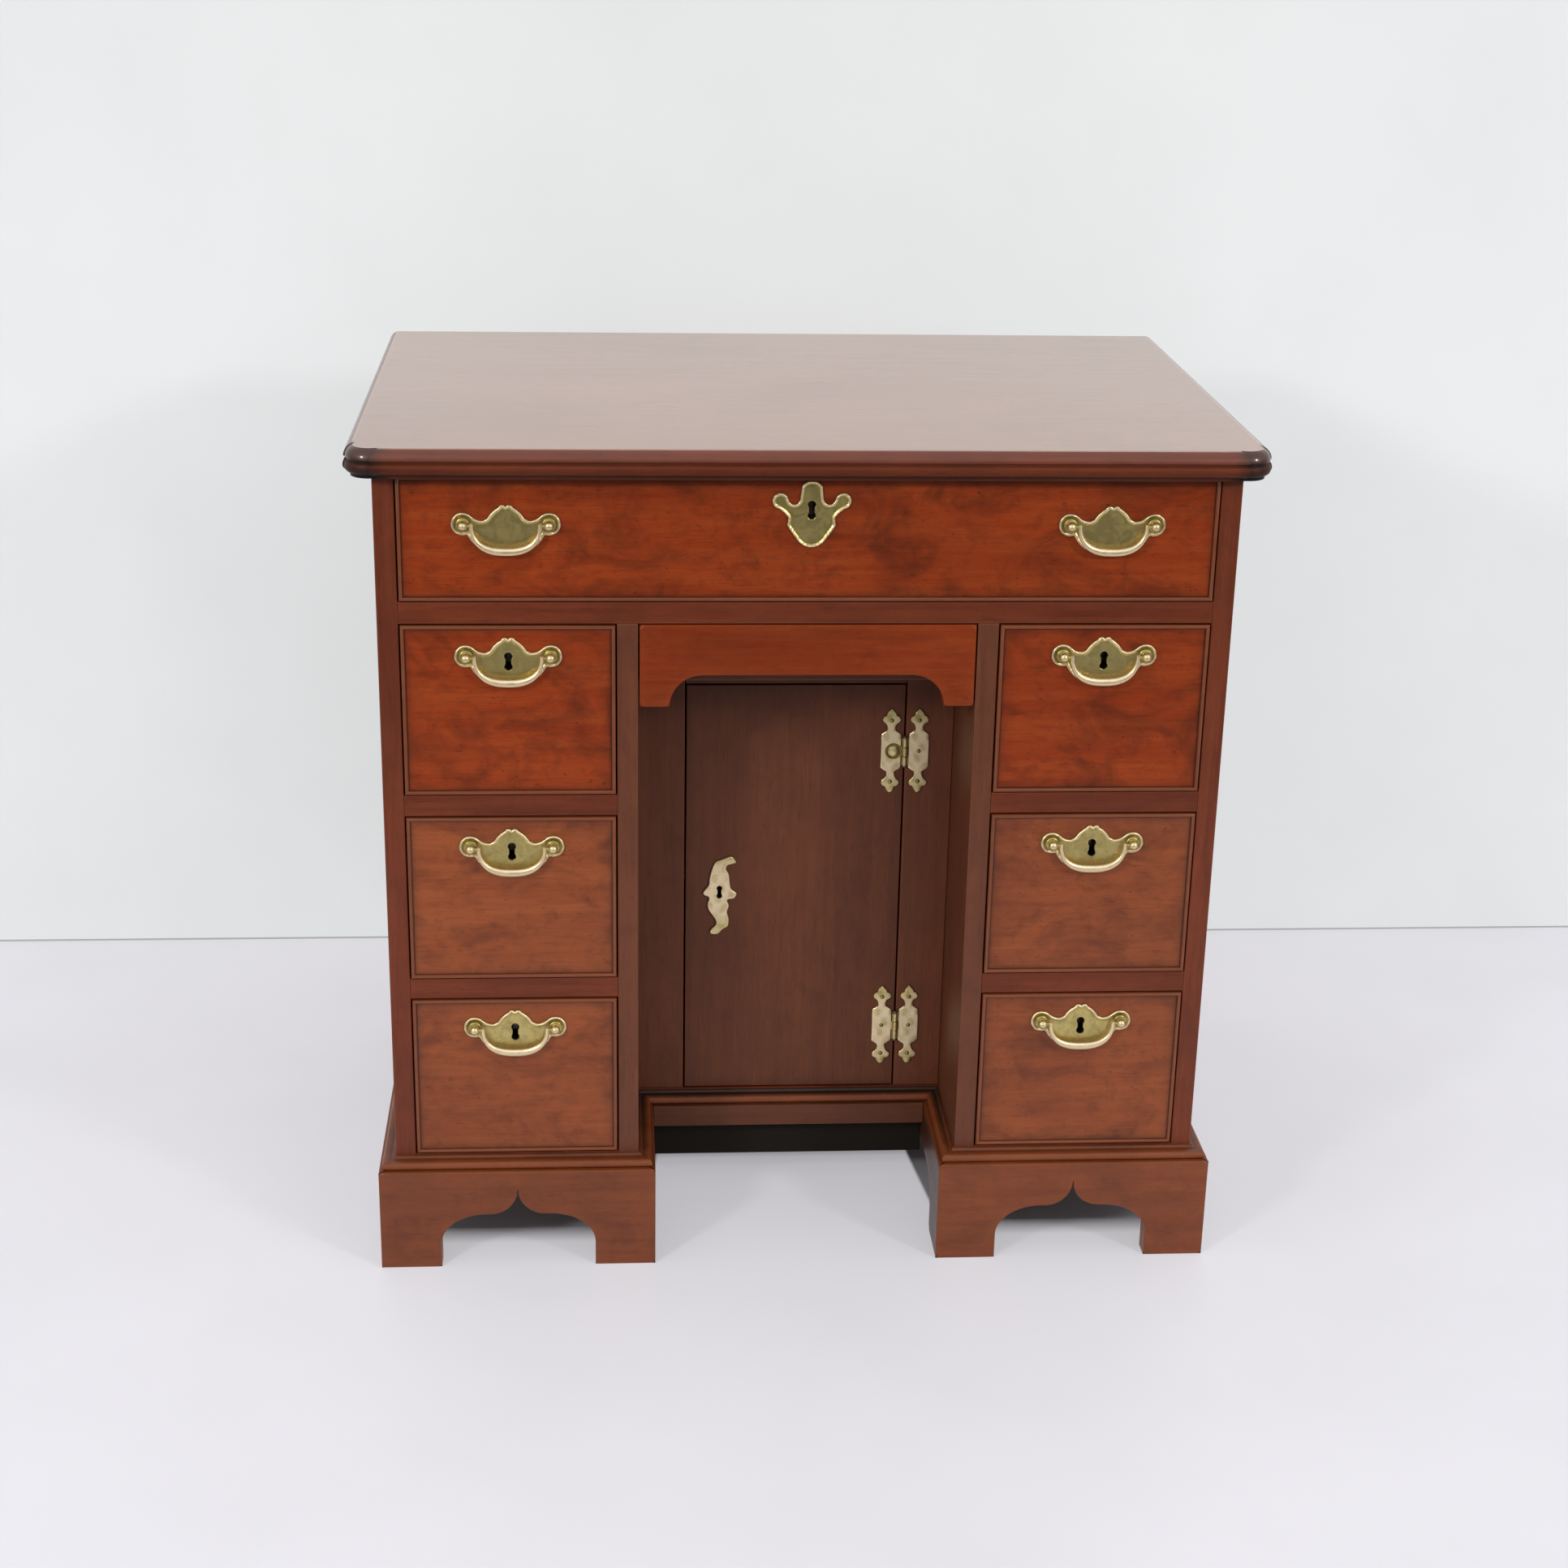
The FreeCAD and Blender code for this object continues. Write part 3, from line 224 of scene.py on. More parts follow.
def weld(points, faces, wear):
    """Merges points that coincide and drops the faces that fold up."""
    keys = np.round(points / SAME_PLACE).astype(np.int64)
    _, first, where = np.unique(keys, axis=0, return_index=True, return_inverse=True)
    where = where.ravel()
    kept = []
    for face in faces:
        ring = [where[i] for i in face]
        ring = [i for i, before in zip(ring, ring[-1:] + ring[:-1]) if i != before]
        if len(set(ring)) > 2:
            kept.append([int(i) for i in ring])
    return points[first], kept, wear[first]


def piece(name, shape, material, body, nodes, sharp=35.0, zones=()):
    """Makes the object of a shape: its mesh, finish, the body it rides on and the nodes it stands for. A zone
    is a further finish and a test, on the faces' normals and middles, of where it goes."""
    mesh = bpy.data.meshes.new(name)
    mesh.from_pydata(np.concatenate(shape.points).tolist(), [], shape.faces)
    work = bmesh.new()
    work.from_mesh(mesh)
    bmesh.ops.recalc_face_normals(work, faces=work.faces)
    work.to_mesh(mesh)
    work.free()
    mesh.polygons.foreach_set("use_smooth", np.ones(len(mesh.polygons), bool))
    mesh.set_sharp_from_angle(angle=math.radians(sharp))
    # The wear attribute carries real wear and painted light: painted highlights above zero, painted shade
    # below zero.
    wear = np.concatenate(shape.wear).astype(np.float32)
    mesh.attributes.new("wear", "FLOAT", "POINT").data.foreach_set("value", wear)
    mesh.materials.append(material)
    if zones:
        normals, middles = (np.array([tuple(getattr(face, what)) for face in mesh.polygons])
                            for what in ("normal", "center"))
        index = np.zeros(len(normals), int)
        for number, (further, chosen) in enumerate(zones, 1):
            mesh.materials.append(further)
            index[chosen(normals, middles)] = number
        mesh.polygons.foreach_set("material_index", index)
    made = bpy.data.objects.new(name, mesh)
    bpy.context.scene.collection.objects.link(made)
    weigh = made.modifiers.new("even_shading", "WEIGHTED_NORMAL")
    weigh.keep_sharp = True
    weigh.weight = 100
    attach(made, body)
    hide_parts(*nodes)


def board(low, high, radius, steps=3):
    """A box with rounded edges: the corner of an inner box plus the radius times the unit direction of
    two angles, one round the upright axis and one up from below."""
    low, high = np.asarray(low, float), np.asarray(high, float)
    middle = (low + high) / 2
    radius = min(radius, 0.45 * float((high - low).min()))
    inside = (high - low) / 2 - radius
    quarter = np.linspace(0, math.pi / 2, steps + 1)
    turn = (np.arange(4)[:, None] * math.pi / 2 + quarter).ravel()
    side_x = np.repeat([1, -1, -1, 1], steps + 1)
    side_y = np.repeat([1, 1, -1, -1], steps + 1)
    climb = np.concatenate([quarter - math.pi / 2, quarter])
    side_z = np.repeat([-1, 1], steps + 1)
    flat = np.cos(climb)[:, None]
    level = middle[2] + side_z * inside[2] + radius * np.sin(climb)
    points = np.stack([
        middle[0] + side_x * inside[0] + radius * flat * np.cos(turn),
        middle[1] + side_y * inside[1] + radius * flat * np.sin(turn),
        np.broadcast_to(level[:, None], (len(climb), len(turn))),
    ], axis=-1)
    corner = np.abs(np.sin(2 * turn)) * flat
    wear = np.maximum(corner, np.abs(np.sin(2 * climb))[:, None])
    rows, columns = wear.shape
    ring = np.arange(0, columns, steps + 1)
    caps = [ring[::-1], ring + (rows - 1) * columns]
    return points.reshape(-1, 3), quads(rows, columns, wrap_columns=True), wear.ravel(), caps


def boards(boxes, radius):
    """Several rounded boards in one shape."""
    shape = Shape()
    for low, high in boxes:
        shape.add(*board(low, high, radius))
    return shape


def sweep(profile, path, out, up, wear, closed=False):
    """A profile carried along a path: each point of the path plus the profile's first number along its own
    outward direction and its second number along up. Open ends are closed with the profile itself."""
    profile, path, out, up = (np.asarray(v, float) for v in (profile, path, out, up))
    points = path[:, None] + profile[None, :, :1] * out[:, None] + profile[None, :, 1:] * up
    rows, columns = points.shape[:2]
    faces = quads(rows, columns, wrap_rows=closed, wrap_columns=True)
    return points, faces, np.broadcast_to(wear, (rows, columns)), [] if closed else ends(rows, columns)


def lathe(profile, centre, axis, across, turns, wear=0.0):
    """A turned piece: the profile's second number along the axis and its first number round it, in mm. Its
    wear is one value or one for each point of the profile."""
    profile = np.asarray(profile, float) * MM
    axis, across = (np.asarray(v, float) for v in (axis, across))
    beside = np.cross(axis, across)
    angle = np.linspace(0, 2 * math.pi, turns, endpoint=False)
    round_it = np.cos(angle)[:, None] * across + np.sin(angle)[:, None] * beside
    points = np.asarray(centre, float) + profile[:, None, :1] * round_it + profile[:, None, 1:] * axis
    rows, columns = points.shape[:2]
    wear = np.broadcast_to(np.reshape(wear, (-1, 1)), (rows, columns))
    return points, quads(rows, columns, wrap_columns=True), wear, ends(rows, columns)


def arc(centre, radius, first, last, steps):
    """Points of an arc between two angles in degrees."""
    angle = np.radians(np.linspace(first, last, steps))
    return np.stack([centre[0] + radius * np.cos(angle), centre[1] + radius * np.sin(angle)], axis=-1)


def through(knots, steps):
    """A smooth closed line through points: each span is a cubic that leans along the neighbours' chord."""
    before, after, beyond = (np.roll(knots, n, axis=0) for n in (1, -1, -2))
    t = np.linspace(0, 1, steps, endpoint=False)[:, None, None]
    curve = 0.5 * (2 * knots + t * (after - before) + t ** 2 * (2 * before - 5 * knots + 4 * after - beyond)
                   + t ** 3 * (3 * knots - before - 3 * after + beyond))
    return curve.transpose(1, 0, 2).reshape(-1, 2)


def spaced(line, step):
    """The same closed line with points at even steps, its sharp corners kept to half a step."""
    spans = np.linalg.norm(np.roll(line, -1, axis=0) - line, axis=1)
    travelled = np.concatenate([[0], np.cumsum(spans)])
    count = max(12, int(round(travelled[-1] / step)))
    at = np.linspace(0, travelled[-1], count, endpoint=False)
    ring = np.concatenate([line, line[:1]])
    return np.stack([np.interp(at, travelled, ring[:, 0]), np.interp(at, travelled, ring[:, 1])], axis=-1)


def within(points, line):
    """Which points lie inside a closed line, by counting the edges that a ray crosses."""
    a, b = line, np.roll(line, -1, axis=0)
    px, py = points[:, None, 0], points[:, None, 1]
    spans = (a[None, :, 1] > py) != (b[None, :, 1] > py)
    rise = np.where(b[:, 1] == a[:, 1], NO_LENGTH, b[:, 1] - a[:, 1])
    crosses = px < a[None, :, 0] + (py - a[None, :, 1]) * (b[:, 0] - a[:, 0]) / rise
    return (spans & crosses).sum(axis=1) % 2 == 1


def away(points, line):
    """Distance of each point from a closed line."""
    a, b = line, np.roll(line, -1, axis=0)
    along = b - a
    part = ((points[:, None] - a) * along).sum(-1) / np.maximum((along ** 2).sum(-1), NO_LENGTH ** 2)
    near = a + np.clip(part, 0, 1)[..., None] * along
    return np.linalg.norm(points[:, None] - near, axis=-1).min(axis=1)


def signed_area(line):
    """Area of a closed line, positive where it runs anticlockwise."""
    after = np.roll(line, -1, axis=0)
    return 0.5 * float((line[:, 0] * after[:, 1] - after[:, 0] * line[:, 1]).sum())


def plate(edge, holes, height, pitch, inset_rows):
    """A plate cut to an outline, with holes: a net of points inside the outline, each raised by a function of
    its place and of its distances from the outline and the holes, over a flat back at y = 0."""
    loops = [edge if signed_area(edge) > 0 else edge[::-1]]
    loops += [hole if signed_area(hole) < 0 else hole[::-1] for hole in holes]
    rims = np.concatenate(loops)
    low, high = edge.min(axis=0), edge.max(axis=0)
    across, upward = np.meshgrid(np.arange(low[0], high[0], pitch), np.arange(low[1], high[1], pitch * 0.866))
    across = across + (np.arange(len(across))[:, None] % 2) * pitch / 2
    net = np.stack([across.ravel(), upward.ravel()], axis=-1)
    rows = [net]
    for inset in inset_rows:
        for loop in loops:
            ahead = np.roll(loop, -1, axis=0) - np.roll(loop, 1, axis=0)
            normal = np.stack([-ahead[:, 1], ahead[:, 0]], axis=-1)
            normal /= np.maximum(np.linalg.norm(normal, axis=1, keepdims=True), NO_LENGTH)
            row = loop + inset * normal
            clear = np.min([away(row, other) for other in loops], axis=0)
            rows.append(row[clear > inset * 0.97])
    inside = within(net, loops[0])
    for loop in loops[1:]:
        inside &= ~within(net, loop)
    clear = np.min([away(net, loop) for loop in loops], axis=0)
    rows[0] = net[inside & (clear > max(inset_rows) + pitch * 0.45)]
    flat = np.concatenate([rims] + rows)
    starts = np.cumsum([0] + [len(loop) for loop in loops])
    border = [(a + i, a + (i + 1) % (b - a)) for a, b in zip(starts[:-1], starts[1:]) for i in range(b - a)]
    points, _, faces, _, _, _ = delaunay_2d_cdt([Vector(p) for p in flat], border, [], 0, NO_LENGTH)
    points = np.array([tuple(p) for p in points])
    faces = np.array(faces)
    middles = points[faces].mean(axis=1)
    keep = within(middles, loops[0])
    for loop in loops[1:]:
        keep &= ~within(middles, loop)
    side, other = ((points[faces[:, n]] - points[faces[:, 0]]).T for n in (1, 2))
    faces = faces[keep & (np.abs(side[0] * other[1] - side[1] * other[0]) > SLIVER)]
    rise, wear = height(points, [away(points, loop) for loop in loops])
    count = len(points)
    face_points = np.stack([points[:, 0], -rise, points[:, 1]], axis=-1)
    back_points = np.stack([points[:, 0], np.zeros(count), points[:, 1]], axis=-1)
    border = np.array(border)
    walls = np.stack([border[:, 0], border[:, 0] + count, border[:, 1] + count, border[:, 1]], axis=-1)
    every = faces.tolist() + (faces[:, ::-1] + count).tolist() + walls.tolist()
    return np.concatenate([face_points, back_points]), every, np.concatenate([wear, wear * 0])


def rise_between(distance, stops):
    """A height read off a list of (distance from the edge, height) stops, eased between them."""
    at, high = np.array(stops, float).T
    step = np.clip(np.searchsorted(at, distance, side="right") - 1, 0, len(at) - 2)
    part = np.clip((distance - at[step]) / (at[step + 1] - at[step]), 0, 1)
    return high[step] + (high[step + 1] - high[step]) * part ** 2 * (3 - 2 * part)


# Finishes: node groups that several materials share

def put(tree, kind, inputs=None, **settings):
    """Adds a node, sets it, and links or fills its sockets."""
    made = tree.nodes.new(kind)
    for name, value in settings.items():
        setattr(made, name, value)
    for socket, value in (inputs or {}).items():
        if isinstance(value, bpy.types.NodeSocket):
            tree.links.new(value, made.inputs[socket])
        else:
            made.inputs[socket].default_value = value
    return made


def new_group(name, sockets):
    """An empty node group with its named inputs, and outputs for a colour, a roughness and a height."""
    tree = bpy.data.node_groups.new(name, "ShaderNodeTree")
    for label, kind in sockets:
        tree.interface.new_socket(label, in_out="INPUT", socket_type=kind)
    for label, kind in (("Color", "NodeSocketColor"), ("Roughness", "NodeSocketFloat"),
                        ("Height", "NodeSocketFloat")):
        tree.interface.new_socket(label, in_out="OUTPUT", socket_type=kind)
    return tree, tree.nodes.new("NodeGroupInput").outputs, tree.nodes.new("NodeGroupOutput").inputs


def stretched_noise(tree, vector, stretch, detail=4.0, distortion=0.0):
    """Noise on a vector that is stretched along the grain."""
    scaled = put(tree, "ShaderNodeVectorMath", {0: vector, 1: stretch}, operation="MULTIPLY")
    return put(tree, "ShaderNodeTexNoise", {"Vector": scaled.outputs[0], "Scale": 1.0, "Detail": detail,
                                            "Roughness": 0.6, "Distortion": distortion}).outputs["Fac"]


def span(tree, value, low, high, to_low=0.0, to_high=1.0):
    """A value spread from one range to another, and held there."""
    return put(tree, "ShaderNodeMapRange", {"Value": value, "From Min": low, "From Max": high,
                                            "To Min": to_low, "To Max": to_high}).outputs["Result"]


def times(tree, first, second):
    """Product of two values."""
    return put(tree, "ShaderNodeMath", {0: first, 1: second}, operation="MULTIPLY").outputs[0]


def blend(tree, factor, first, second):
    """A mix of two colours."""
    made = put(tree, "ShaderNodeMix", data_type="RGBA")
    for socket, value in (("Factor_Float", factor), ("A_Color", first), ("B_Color", second)):
        target = next(i for i in made.inputs if i.identifier == socket)
        if isinstance(value, bpy.types.NodeSocket):
            tree.links.new(value, target)
        else:
            target.default_value = value
    return next(o for o in made.outputs if o.identifier == "Result_Color")


def grained_wood():
    """Group: grain lines, pores and cloudy figure of a polished wood whose grain runs along the vector's x.
    Where the wear is above zero it lightens, for real wear on edges and for painted highlights, and where it
    is below zero it darkens towards near black as painted shade."""
    tree, given, taken = new_group("Grained wood", (
        ("Vector", "NodeSocketVector"), ("Dark", "NodeSocketColor"), ("Middle", "NodeSocketColor"),
        ("Light", "NodeSocketColor"), ("Figure", "NodeSocketFloat"), ("Wear", "NodeSocketFloat"),
        ("Roughness", "NodeSocketFloat")))
    vector = given["Vector"]
    lines = span(tree, stretched_noise(tree, vector, (7, 120, 120), 6.0, 0.6), 0.22, 0.8)
    pores = span(tree, stretched_noise(tree, vector, (45, 1100, 1100), 2.0), 0.57, 0.7)
    cloud = span(tree, stretched_noise(tree, vector, (13, 21, 21), 5.0, 1.1), 0.48, 0.8)
    mottle = span(tree, stretched_noise(tree, vector, (55, 70, 70), 4.0, 0.6), 0.5, 0.78)
    flecks = span(tree, stretched_noise(tree, vector, (150, 330, 330), 2.0, 0.4), 0.66, 0.74)
    tone = span(tree, stretched_noise(tree, vector, (3, 5, 5), 3.0, 0.7), 0.32, 0.7)
    ground = blend(tree, lines, given["Middle"], given["Light"])
    ground = blend(tree, span(tree, tone, 0, 1, 0.0, 0.32), ground, given["Dark"])
    figured = blend(tree, times(tree, cloud, given["Figure"]), ground, given["Dark"])
    figured = blend(tree, times(tree, mottle, times(tree, given["Figure"], 0.55)), figured, given["Dark"])
    figured = blend(tree, times(tree, flecks, times(tree, given["Figure"], 0.7)), figured, given["Dark"])
    pored = blend(tree, times(tree, pores, 0.35), figured, given["Dark"])
    # Above zero the wear lightens: real wear on edges, and painted highlights on moulding crests and bead
    # noses.
    worn_and_highlit = blend(tree, span(tree, given["Wear"], 0, 1, 0.0, 0.45), pored, given["Light"])
    # Below zero the wear darkens towards near black: painted shade in corners, creases, recesses and holes.
    painted_shade = blend(tree, span(tree, given["Wear"], 0, -1), worn_and_highlit, (0.009, 0.007, 0.005, 1))
    tree.links.new(painted_shade, taken["Color"])
    dull = put(tree, "ShaderNodeMath", {0: lines, 1: 0.1, 2: given["Roughness"]}, operation="MULTIPLY_ADD")
    tree.links.new(dull.outputs[0], taken["Roughness"])
    relief = put(tree, "ShaderNodeMath", {0: pores, 1: -0.7, 2: times(tree, lines, 0.3)},
                 operation="MULTIPLY_ADD")
    tree.links.new(relief.outputs[0], taken["Height"])
    return tree


def aged_brass():
    """Group: brass that is rubbed bright where it stands up and brown where it lies low."""
    tree, given, taken = new_group("Aged brass", (
        ("Vector", "NodeSocketVector"), ("Rim", "NodeSocketColor"), ("Field", "NodeSocketColor"),
        ("Tarnish", "NodeSocketColor"), ("Wear", "NodeSocketFloat")))
    vector = given["Vector"]
    patches = span(tree, stretched_noise(tree, vector, (95, 95, 95), 4.0, 0.8), 0.42, 0.7)
    specks = span(tree, stretched_noise(tree, vector, (620, 620, 620), 3.0), 0.55, 0.75)
    bright = span(tree, given["Wear"], 0, 1)
    metal = blend(tree, bright, given["Field"], given["Rim"])
    low = span(tree, given["Wear"], 0.7, -0.3, 0.0, 0.6)
    stained = blend(tree, times(tree, patches, low), metal, given["Tarnish"])
    spotted = blend(tree, times(tree, specks, 0.3), stained, given["Tarnish"])
    sooty = blend(tree, span(tree, given["Wear"], 0, -1), spotted, given["Tarnish"])
    tree.links.new(sooty, taken["Color"])
    rough = put(tree, "ShaderNodeMath", {0: patches, 1: 0.16, 2: span(tree, given["Wear"], 0, 1, 0.34, 0.4)},
                operation="MULTIPLY_ADD")
    tree.links.new(rough.outputs[0], taken["Roughness"])
    relief = put(tree, "ShaderNodeMath", {0: specks, 1: -0.5, 2: patches}, operation="MULTIPLY_ADD")
    tree.links.new(relief.outputs[0], taken["Height"])
    return tree


GRAIN = {"x": (0, 0, 0), "y": (0, 0, -math.pi / 2), "z": (0, math.pi / 2, 0)}


def finish(name, group, values, grain="x", shift=(0, 0, 0), bump=0.12, depth=0.2 * MM, **shader):
    """A material: object coordinates turned to the grain, a shared group, and the shader's plain values."""
    material = bpy.data.materials.new(name)
    material.use_nodes = True
    tree = material.node_tree
    tree.nodes.clear()
    place = put(tree, "ShaderNodeTexCoord").outputs["Object"]
    turned = put(tree, "ShaderNodeMapping", {"Vector": place, "Location": shift, "Rotation": GRAIN[grain]})
    wear = put(tree, "ShaderNodeAttribute", attribute_name="wear").outputs["Fac"]
    effect = put(tree, "ShaderNodeGroup", node_tree=group)
    tree.links.new(turned.outputs[0], effect.inputs["Vector"])
    tree.links.new(wear, effect.inputs["Wear"])
    for socket, value in values.items():
        effect.inputs[socket].default_value = (*value, 1) if hasattr(value, "__len__") else value
    relief = put(tree, "ShaderNodeBump", {"Height": effect.outputs["Height"], "Strength": bump,
                                          "Distance": depth})
    skin = put(tree, "ShaderNodeBsdfPrincipled", {
        "Base Color": effect.outputs["Color"], "Roughness": effect.outputs["Roughness"],
        "Normal": relief.outputs[0]})
    for socket, value in shader.items():
        skin.inputs[socket.replace("_", " ").title().replace("Ior", "IOR")].default_value = value
    out = put(tree, "ShaderNodeOutputMaterial")
    tree.links.new(skin.outputs[0], out.inputs["Surface"])
    return material


def make_finishes():
    """Every material of the desk, by name."""
    woods = bpy.context.scene.desk_woods
    metals = bpy.context.scene.desk_metals
    grained = grained_wood()
    brass = aged_brass()

    def wood(name, kind, grain, figure, roughness, coat, shift=(0, 0, 0), gloss=0.24, dim=1.0):
        shades = {"Dark": f"{kind}_dark", "Middle": f"{kind}_mid", "Light": f"{kind}_light"}
        values = {socket: tuple(np.array(getattr(woods, shade)) * dim) for socket, shade in shades.items()}
        return finish(name, grained, {**values, "Figure": figure, "Roughness": roughness}, grain, shift,
                      coat_weight=coat, coat_roughness=0.12, specular_ior_level=gloss)

    def bare(name, shade, grain, shift=(0, 0, 0), gloss=0.35):
        middle = np.array(getattr(woods, shade))
        values = {"Dark": tuple(middle * 0.55), "Middle": tuple(middle), "Light": tuple(middle * 1.25)}
        return finish(name, grained, {**values, "Figure": 0.35, "Roughness": 0.62}, grain, shift, bump=0.3,
                      specular_ior_level=gloss)

    return {
        "top": wood("polished_top", "top", "x", 0.25, 0.2, 0.75, gloss=0.5),
        "top_edge": wood("polished_top_edge", "case", "x", 0.3, 0.3, 0.5, (0.3, 0, 0), gloss=0.4),
        "top_bead": wood("waxed_top_bead", "case", "x", 0.3, 0.44, 0.0, (0.3, 0, 0), gloss=0.16, dim=0.85),
        "front": wood("flame_drawer_fronts", "front", "x", 0.85, 0.34, 0.03, gloss=0.2, dim=0.94),
        "low_front": wood("flame_lower_fronts", "low", "x", 0.8, 0.34, 0.05, (0.9, 0.3, 0), gloss=0.3),
        "apron": wood("flame_apron", "front", "x", 0.35, 0.36, 0.03, (1.7, 0.4, 0.2), gloss=0.2, dim=0.71),
        "upright": wood("waxed_uprights", "case", "z", 0.35, 0.38, 0.05, gloss=0.28),
        "level": wood("waxed_rails", "case", "x", 0.35, 0.38, 0.05),
        "bead": wood("rubbed_and_highlit_beads", "low", "x", 0.3, 0.3, 0.15, (0.2, 0.1, 0.7), gloss=0.42, dim=0.62),
        "plinth": wood("waxed_plinth_fronts", "low", "x", 0.5, 0.36, 0.05, (0.4, 0.6, 0.1), gloss=0.34,
                       dim=0.68),
        "runner": wood("waxed_plinth_sides", "low", "y", 0.5, 0.36, 0.05, gloss=0.34, dim=0.68),
        "knee_side": wood("waxed_kneehole_sides", "knee", "z", 0.35, 0.4, 0.05, (0.2, 0.5, 0.3), gloss=0.3),
        "knee_upright": wood("dull_kneehole_uprights", "knee", "z", 0.3, 0.44, 0.03),
        "knee_level": wood("dull_kneehole_levels", "knee", "x", 0.3, 0.44, 0.03, dim=0.8),
        "bearer_shade": bare("shade_dark_bearer", "bearer_shade", "x", gloss=0.1),
        "oak_long": bare("oak_sides", "oak", "y"),
        "oak_wide": bare("oak_across", "oak", "x"),
        "deal_up": bare("deal_back", "deal", "z"),
        "deal_wide": bare("deal_boards", "deal", "x"),
        "brass": finish("aged_brass", brass, {
            "Rim": tuple(metals.brass_rim), "Field": tuple(metals.brass_field),
            "Tarnish": tuple(metals.brass_tarnish)}, bump=0.25, depth=0.1 * MM, metallic=1.0),
        "iron": finish("dull_iron", brass, {
            "Rim": tuple(metals.iron), "Field": tuple(np.array(metals.iron) * 0.6),
            "Tarnish": tuple(np.array(metals.iron) * 0.25)}, bump=0.3, depth=0.1 * MM, metallic=0.9),
    }


FINISHES = {}


def clothe(node, material):
    """Gives a solid that stays as it is one of the finishes."""
    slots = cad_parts[node].data.materials
    slots.clear()
    slots.append(material)


# Shapes of this desk

NOTCH = 24 * MM
NOTCH_STEP = 1.5 * MM
NOTCH_ROOM = 7.5 * MM
OVOLO_HIGH = 10 * MM
OVOLO_WIDE = 9 * MM
OVOLO_STEP = 0.8 * MM
GROOVE_HIGH = 3 * MM
GROOVE_DEEP = 2 * MM
FILLET_DEEP = 5 * MM
EDGE_BEAD = 5 * MM
CORNER_FADE = 14 * MM
LEVEL_FACE = 0.97
# Painted shade in the top's notched corners
CORNER_PAINTED_SHADE = 0.62
TOP_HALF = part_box("desk_top")[1].x
TOP_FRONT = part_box("desk_top")[0].y
TOP_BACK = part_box("desk_top")[1].y


def mortise_aim():
    """Where rays from the middle of the mortise through its corners meet the top's front and side edges."""
    rim, _ = mortise("long_drawer")
    middle = np.mean(rim, axis=0)
    half_x, half_y = np.subtract(rim[1], rim[0]) / 2
    ahead = middle[1] - TOP_FRONT - FILLET_DEEP
    return half_x / half_y * ahead, middle[1] + half_y / half_x * (TOP_HALF - FILLET_DEEP)


def top_ring(inset, level):
    """The top's outline set in by a distance: straight sides, and a round with two steps in each front notch.
    The round's radius shrinks with the inset, about the notch's own centre, as far as the notch has room.
    Also 1 for each point of a corner."""
    centre = np.array([TOP_HALF - NOTCH, TOP_FRONT + NOTCH])
    step = min(inset, NOTCH_ROOM)
    radius = NOTCH - NOTCH_STEP - step
    reach = math.sqrt(radius ** 2 - step ** 2)
    first = math.degrees(math.atan2(-reach, -step))
    last = math.degrees(math.atan2(step, reach))
    round_line = arc(centre, radius, first, last, 15)
    near, side = TOP_FRONT + inset, TOP_HALF - inset
    aim_x, aim_y = mortise_aim()
    right = np.concatenate([
        [[0.0, near], [aim_x, near], [centre[0] - step - CORNER_FADE, near], [centre[0] - step, near]],
        round_line,
        [[side, centre[1] + step], [side, centre[1] + step + CORNER_FADE], [side, aim_y]],
        [[side, TOP_BACK], [0.0, TOP_BACK]],
    ])
    left = right[::-1][1:-1] * (-1, 1)
    ring = np.concatenate([right, left])
    corner = np.zeros(len(right))
    corner[3:-4] = 1
    corner = np.concatenate([corner, corner[::-1][1:-1]])
    return np.column_stack([ring, np.full(len(ring), level)]), corner


